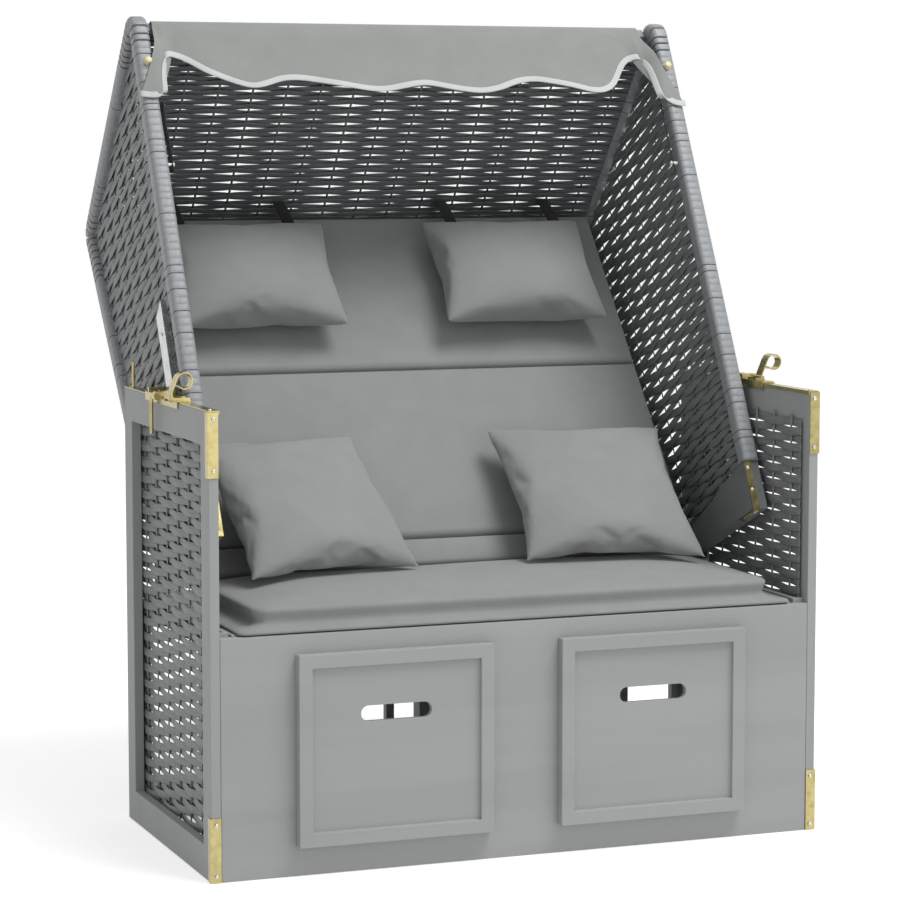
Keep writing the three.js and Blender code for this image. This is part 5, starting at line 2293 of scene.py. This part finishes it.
@dataclass
class Studio:
    """The floor, the light and the camera of the photograph.

    Attributes:
        camera: the camera's place in metres.
        yaw: how far it looks to the right, in degrees.
        pitch: how far it looks down, in degrees.
        lens: its focal length on a sensor 36 mm wide.
        key_lamp: the place of the lamp above in metres, its side and its power in watts.
        fill_lamp: the same of the weak lamp in front.
        aim: what the lamps face.
        sky: how strongly the surroundings light the chair.
        floor_glow: what the floor adds for the eye alone, so that it looks white.
        floor_reach: how far the floor goes each way, in metres.
        floor_paint: its colour.
    """

    camera: Place = (-2.046, -5.258, 1.299)
    yaw: float = 20.91
    pitch: float = 5.92
    lens: float = 120.68
    key_lamp: tuple[Place, float, float] = ((1.6, -2.0, 5.6), 2.6, 215.0)
    fill_lamp: tuple[Place, float, float] = ((0.6, -6.0, 1.6), 3.0, 28.0)
    aim: Place = (0.0, 0.0, 0.7)
    sky: float = 0.54
    floor_glow: float = 0.54
    floor_reach: float = 60.0
    floor_paint: str = "#e9e9e9"

    def build(self) -> None:
        """Sets up the camera, the lamps, the surroundings and the floor."""
        scene = bpy.context.scene
        scene.view_settings.view_transform = "Standard"
        lens = bpy.data.cameras.new("camera")
        lens.sensor_width, lens.lens = 36.0, self.lens
        lens.clip_start, lens.clip_end = 0.1, 100.0
        eye = bpy.data.objects.new("camera", lens)
        eye.location = self.camera
        eye.rotation_euler = (math.radians(90 - self.pitch), 0, math.radians(-self.yaw))
        scene.collection.objects.link(eye)
        scene.camera = eye
        self._lamp("key lamp", *self.key_lamp)
        self._lamp("fill lamp", *self.fill_lamp)
        self._sky(scene)
        self._floor()

    def _lamp(self, name: str, place: Place, size: float, power: float) -> None:
        """Adds a soft square lamp that faces the chair.

        Args:
            name: the lamp's name.
            place: where it hangs, in metres.
            size: its side in metres.
            power: its power in watts.
        """
        light = bpy.data.lights.new(name, "AREA")
        light.shape, light.size, light.energy = "SQUARE", size, power
        lamp = bpy.data.objects.new(name, light)
        lamp.location = place
        aim = Vector(self.aim) - Vector(place)
        lamp.rotation_euler = aim.to_track_quat("-Z", "Y").to_euler()
        bpy.context.scene.collection.objects.link(lamp)

    @staticmethod
    def _seen(tree: bpy.types.NodeTree) -> bpy.types.NodeSocket:
        """One for the rays that the eye, a gloss or a glass sends out, and none for the rest.

        Args:
            tree: the node tree.

        Returns:
            That share.
        """
        rays = add_node(tree, "ShaderNodeLightPath")
        both = add_node(
            tree,
            "ShaderNodeMath",
            {"operation": "MAXIMUM"},
            {0: rays.outputs["Is Camera Ray"], 1: rays.outputs["Is Glossy Ray"]},
        )
        every = add_node(
            tree,
            "ShaderNodeMath",
            {"operation": "MAXIMUM"},
            {0: both.outputs[0], 1: rays.outputs["Is Transmission Ray"]},
        )
        return every.outputs[0]

    def _sky(self, scene: bpy.types.Scene) -> None:
        """Makes the surroundings: plain white to the eye and dimmer as a light.

        Args:
            scene: the scene.
        """
        world = bpy.data.worlds.new("studio")
        world.use_nodes = True
        tree = world.node_tree
        back = tree.nodes["Background"]
        back.inputs["Color"].default_value = (1, 1, 1, 1)
        strength = add_node(
            tree,
            "ShaderNodeMapRange",
            {"To Min": self.sky, "To Max": 1.0},
            {"Value": self._seen(tree)},
        )
        tree.links.new(strength.outputs["Result"], back.inputs["Strength"])
        scene.world = world

    def _floor(self) -> None:
        """Makes the pale floor, which keeps the chair's shadow."""
        mesh = bpy.data.meshes.new("floor")
        reach = self.floor_reach
        corners = [(-reach, -reach, 0), (reach, -reach, 0), (reach, reach, 0), (-reach, reach, 0)]
        mesh.from_pydata(corners, [], [(0, 1, 2, 3)])
        floor = bpy.data.objects.new("floor", mesh)
        floor.location.z = -0.0008
        bpy.context.scene.collection.objects.link(floor)
        paint = bpy.data.materials.new("matt_studio_floor")
        paint.use_nodes = True
        tree = paint.node_tree
        shader = tree.nodes["Principled BSDF"]
        shader.inputs["Base Color"].default_value = linear(self.floor_paint)
        shader.inputs["Roughness"].default_value = 0.9
        shader.inputs["Specular IOR Level"].default_value = 0.1
        strength = add_node(
            tree,
            "ShaderNodeMath",
            {"operation": "MULTIPLY", 1: self.floor_glow},
            {0: self._seen(tree)},
        )
        glow = add_node(tree, "ShaderNodeEmission", links={"Strength": strength.outputs[0]})
        both = add_node(
            tree,
            "ShaderNodeAddShader",
            links={0: shader.outputs[0], 1: glow.outputs[0]},
        )
        tree.links.new(both.outputs[0], tree.nodes["Material Output"].inputs["Surface"])
        mesh.materials.append(paint)


def main() -> None:
    """Builds the chair's looks piece by piece and reports each one."""
    logging.basicConfig(level=logging.INFO, format="%(message)s")
    Studio().build()
    for part in (Base(), Hood(), Upholstery()):
        for piece in part.build():
            log.info("%s: %s", type(part).__name__, piece.name)


if __name__ == "__main__":
    main()
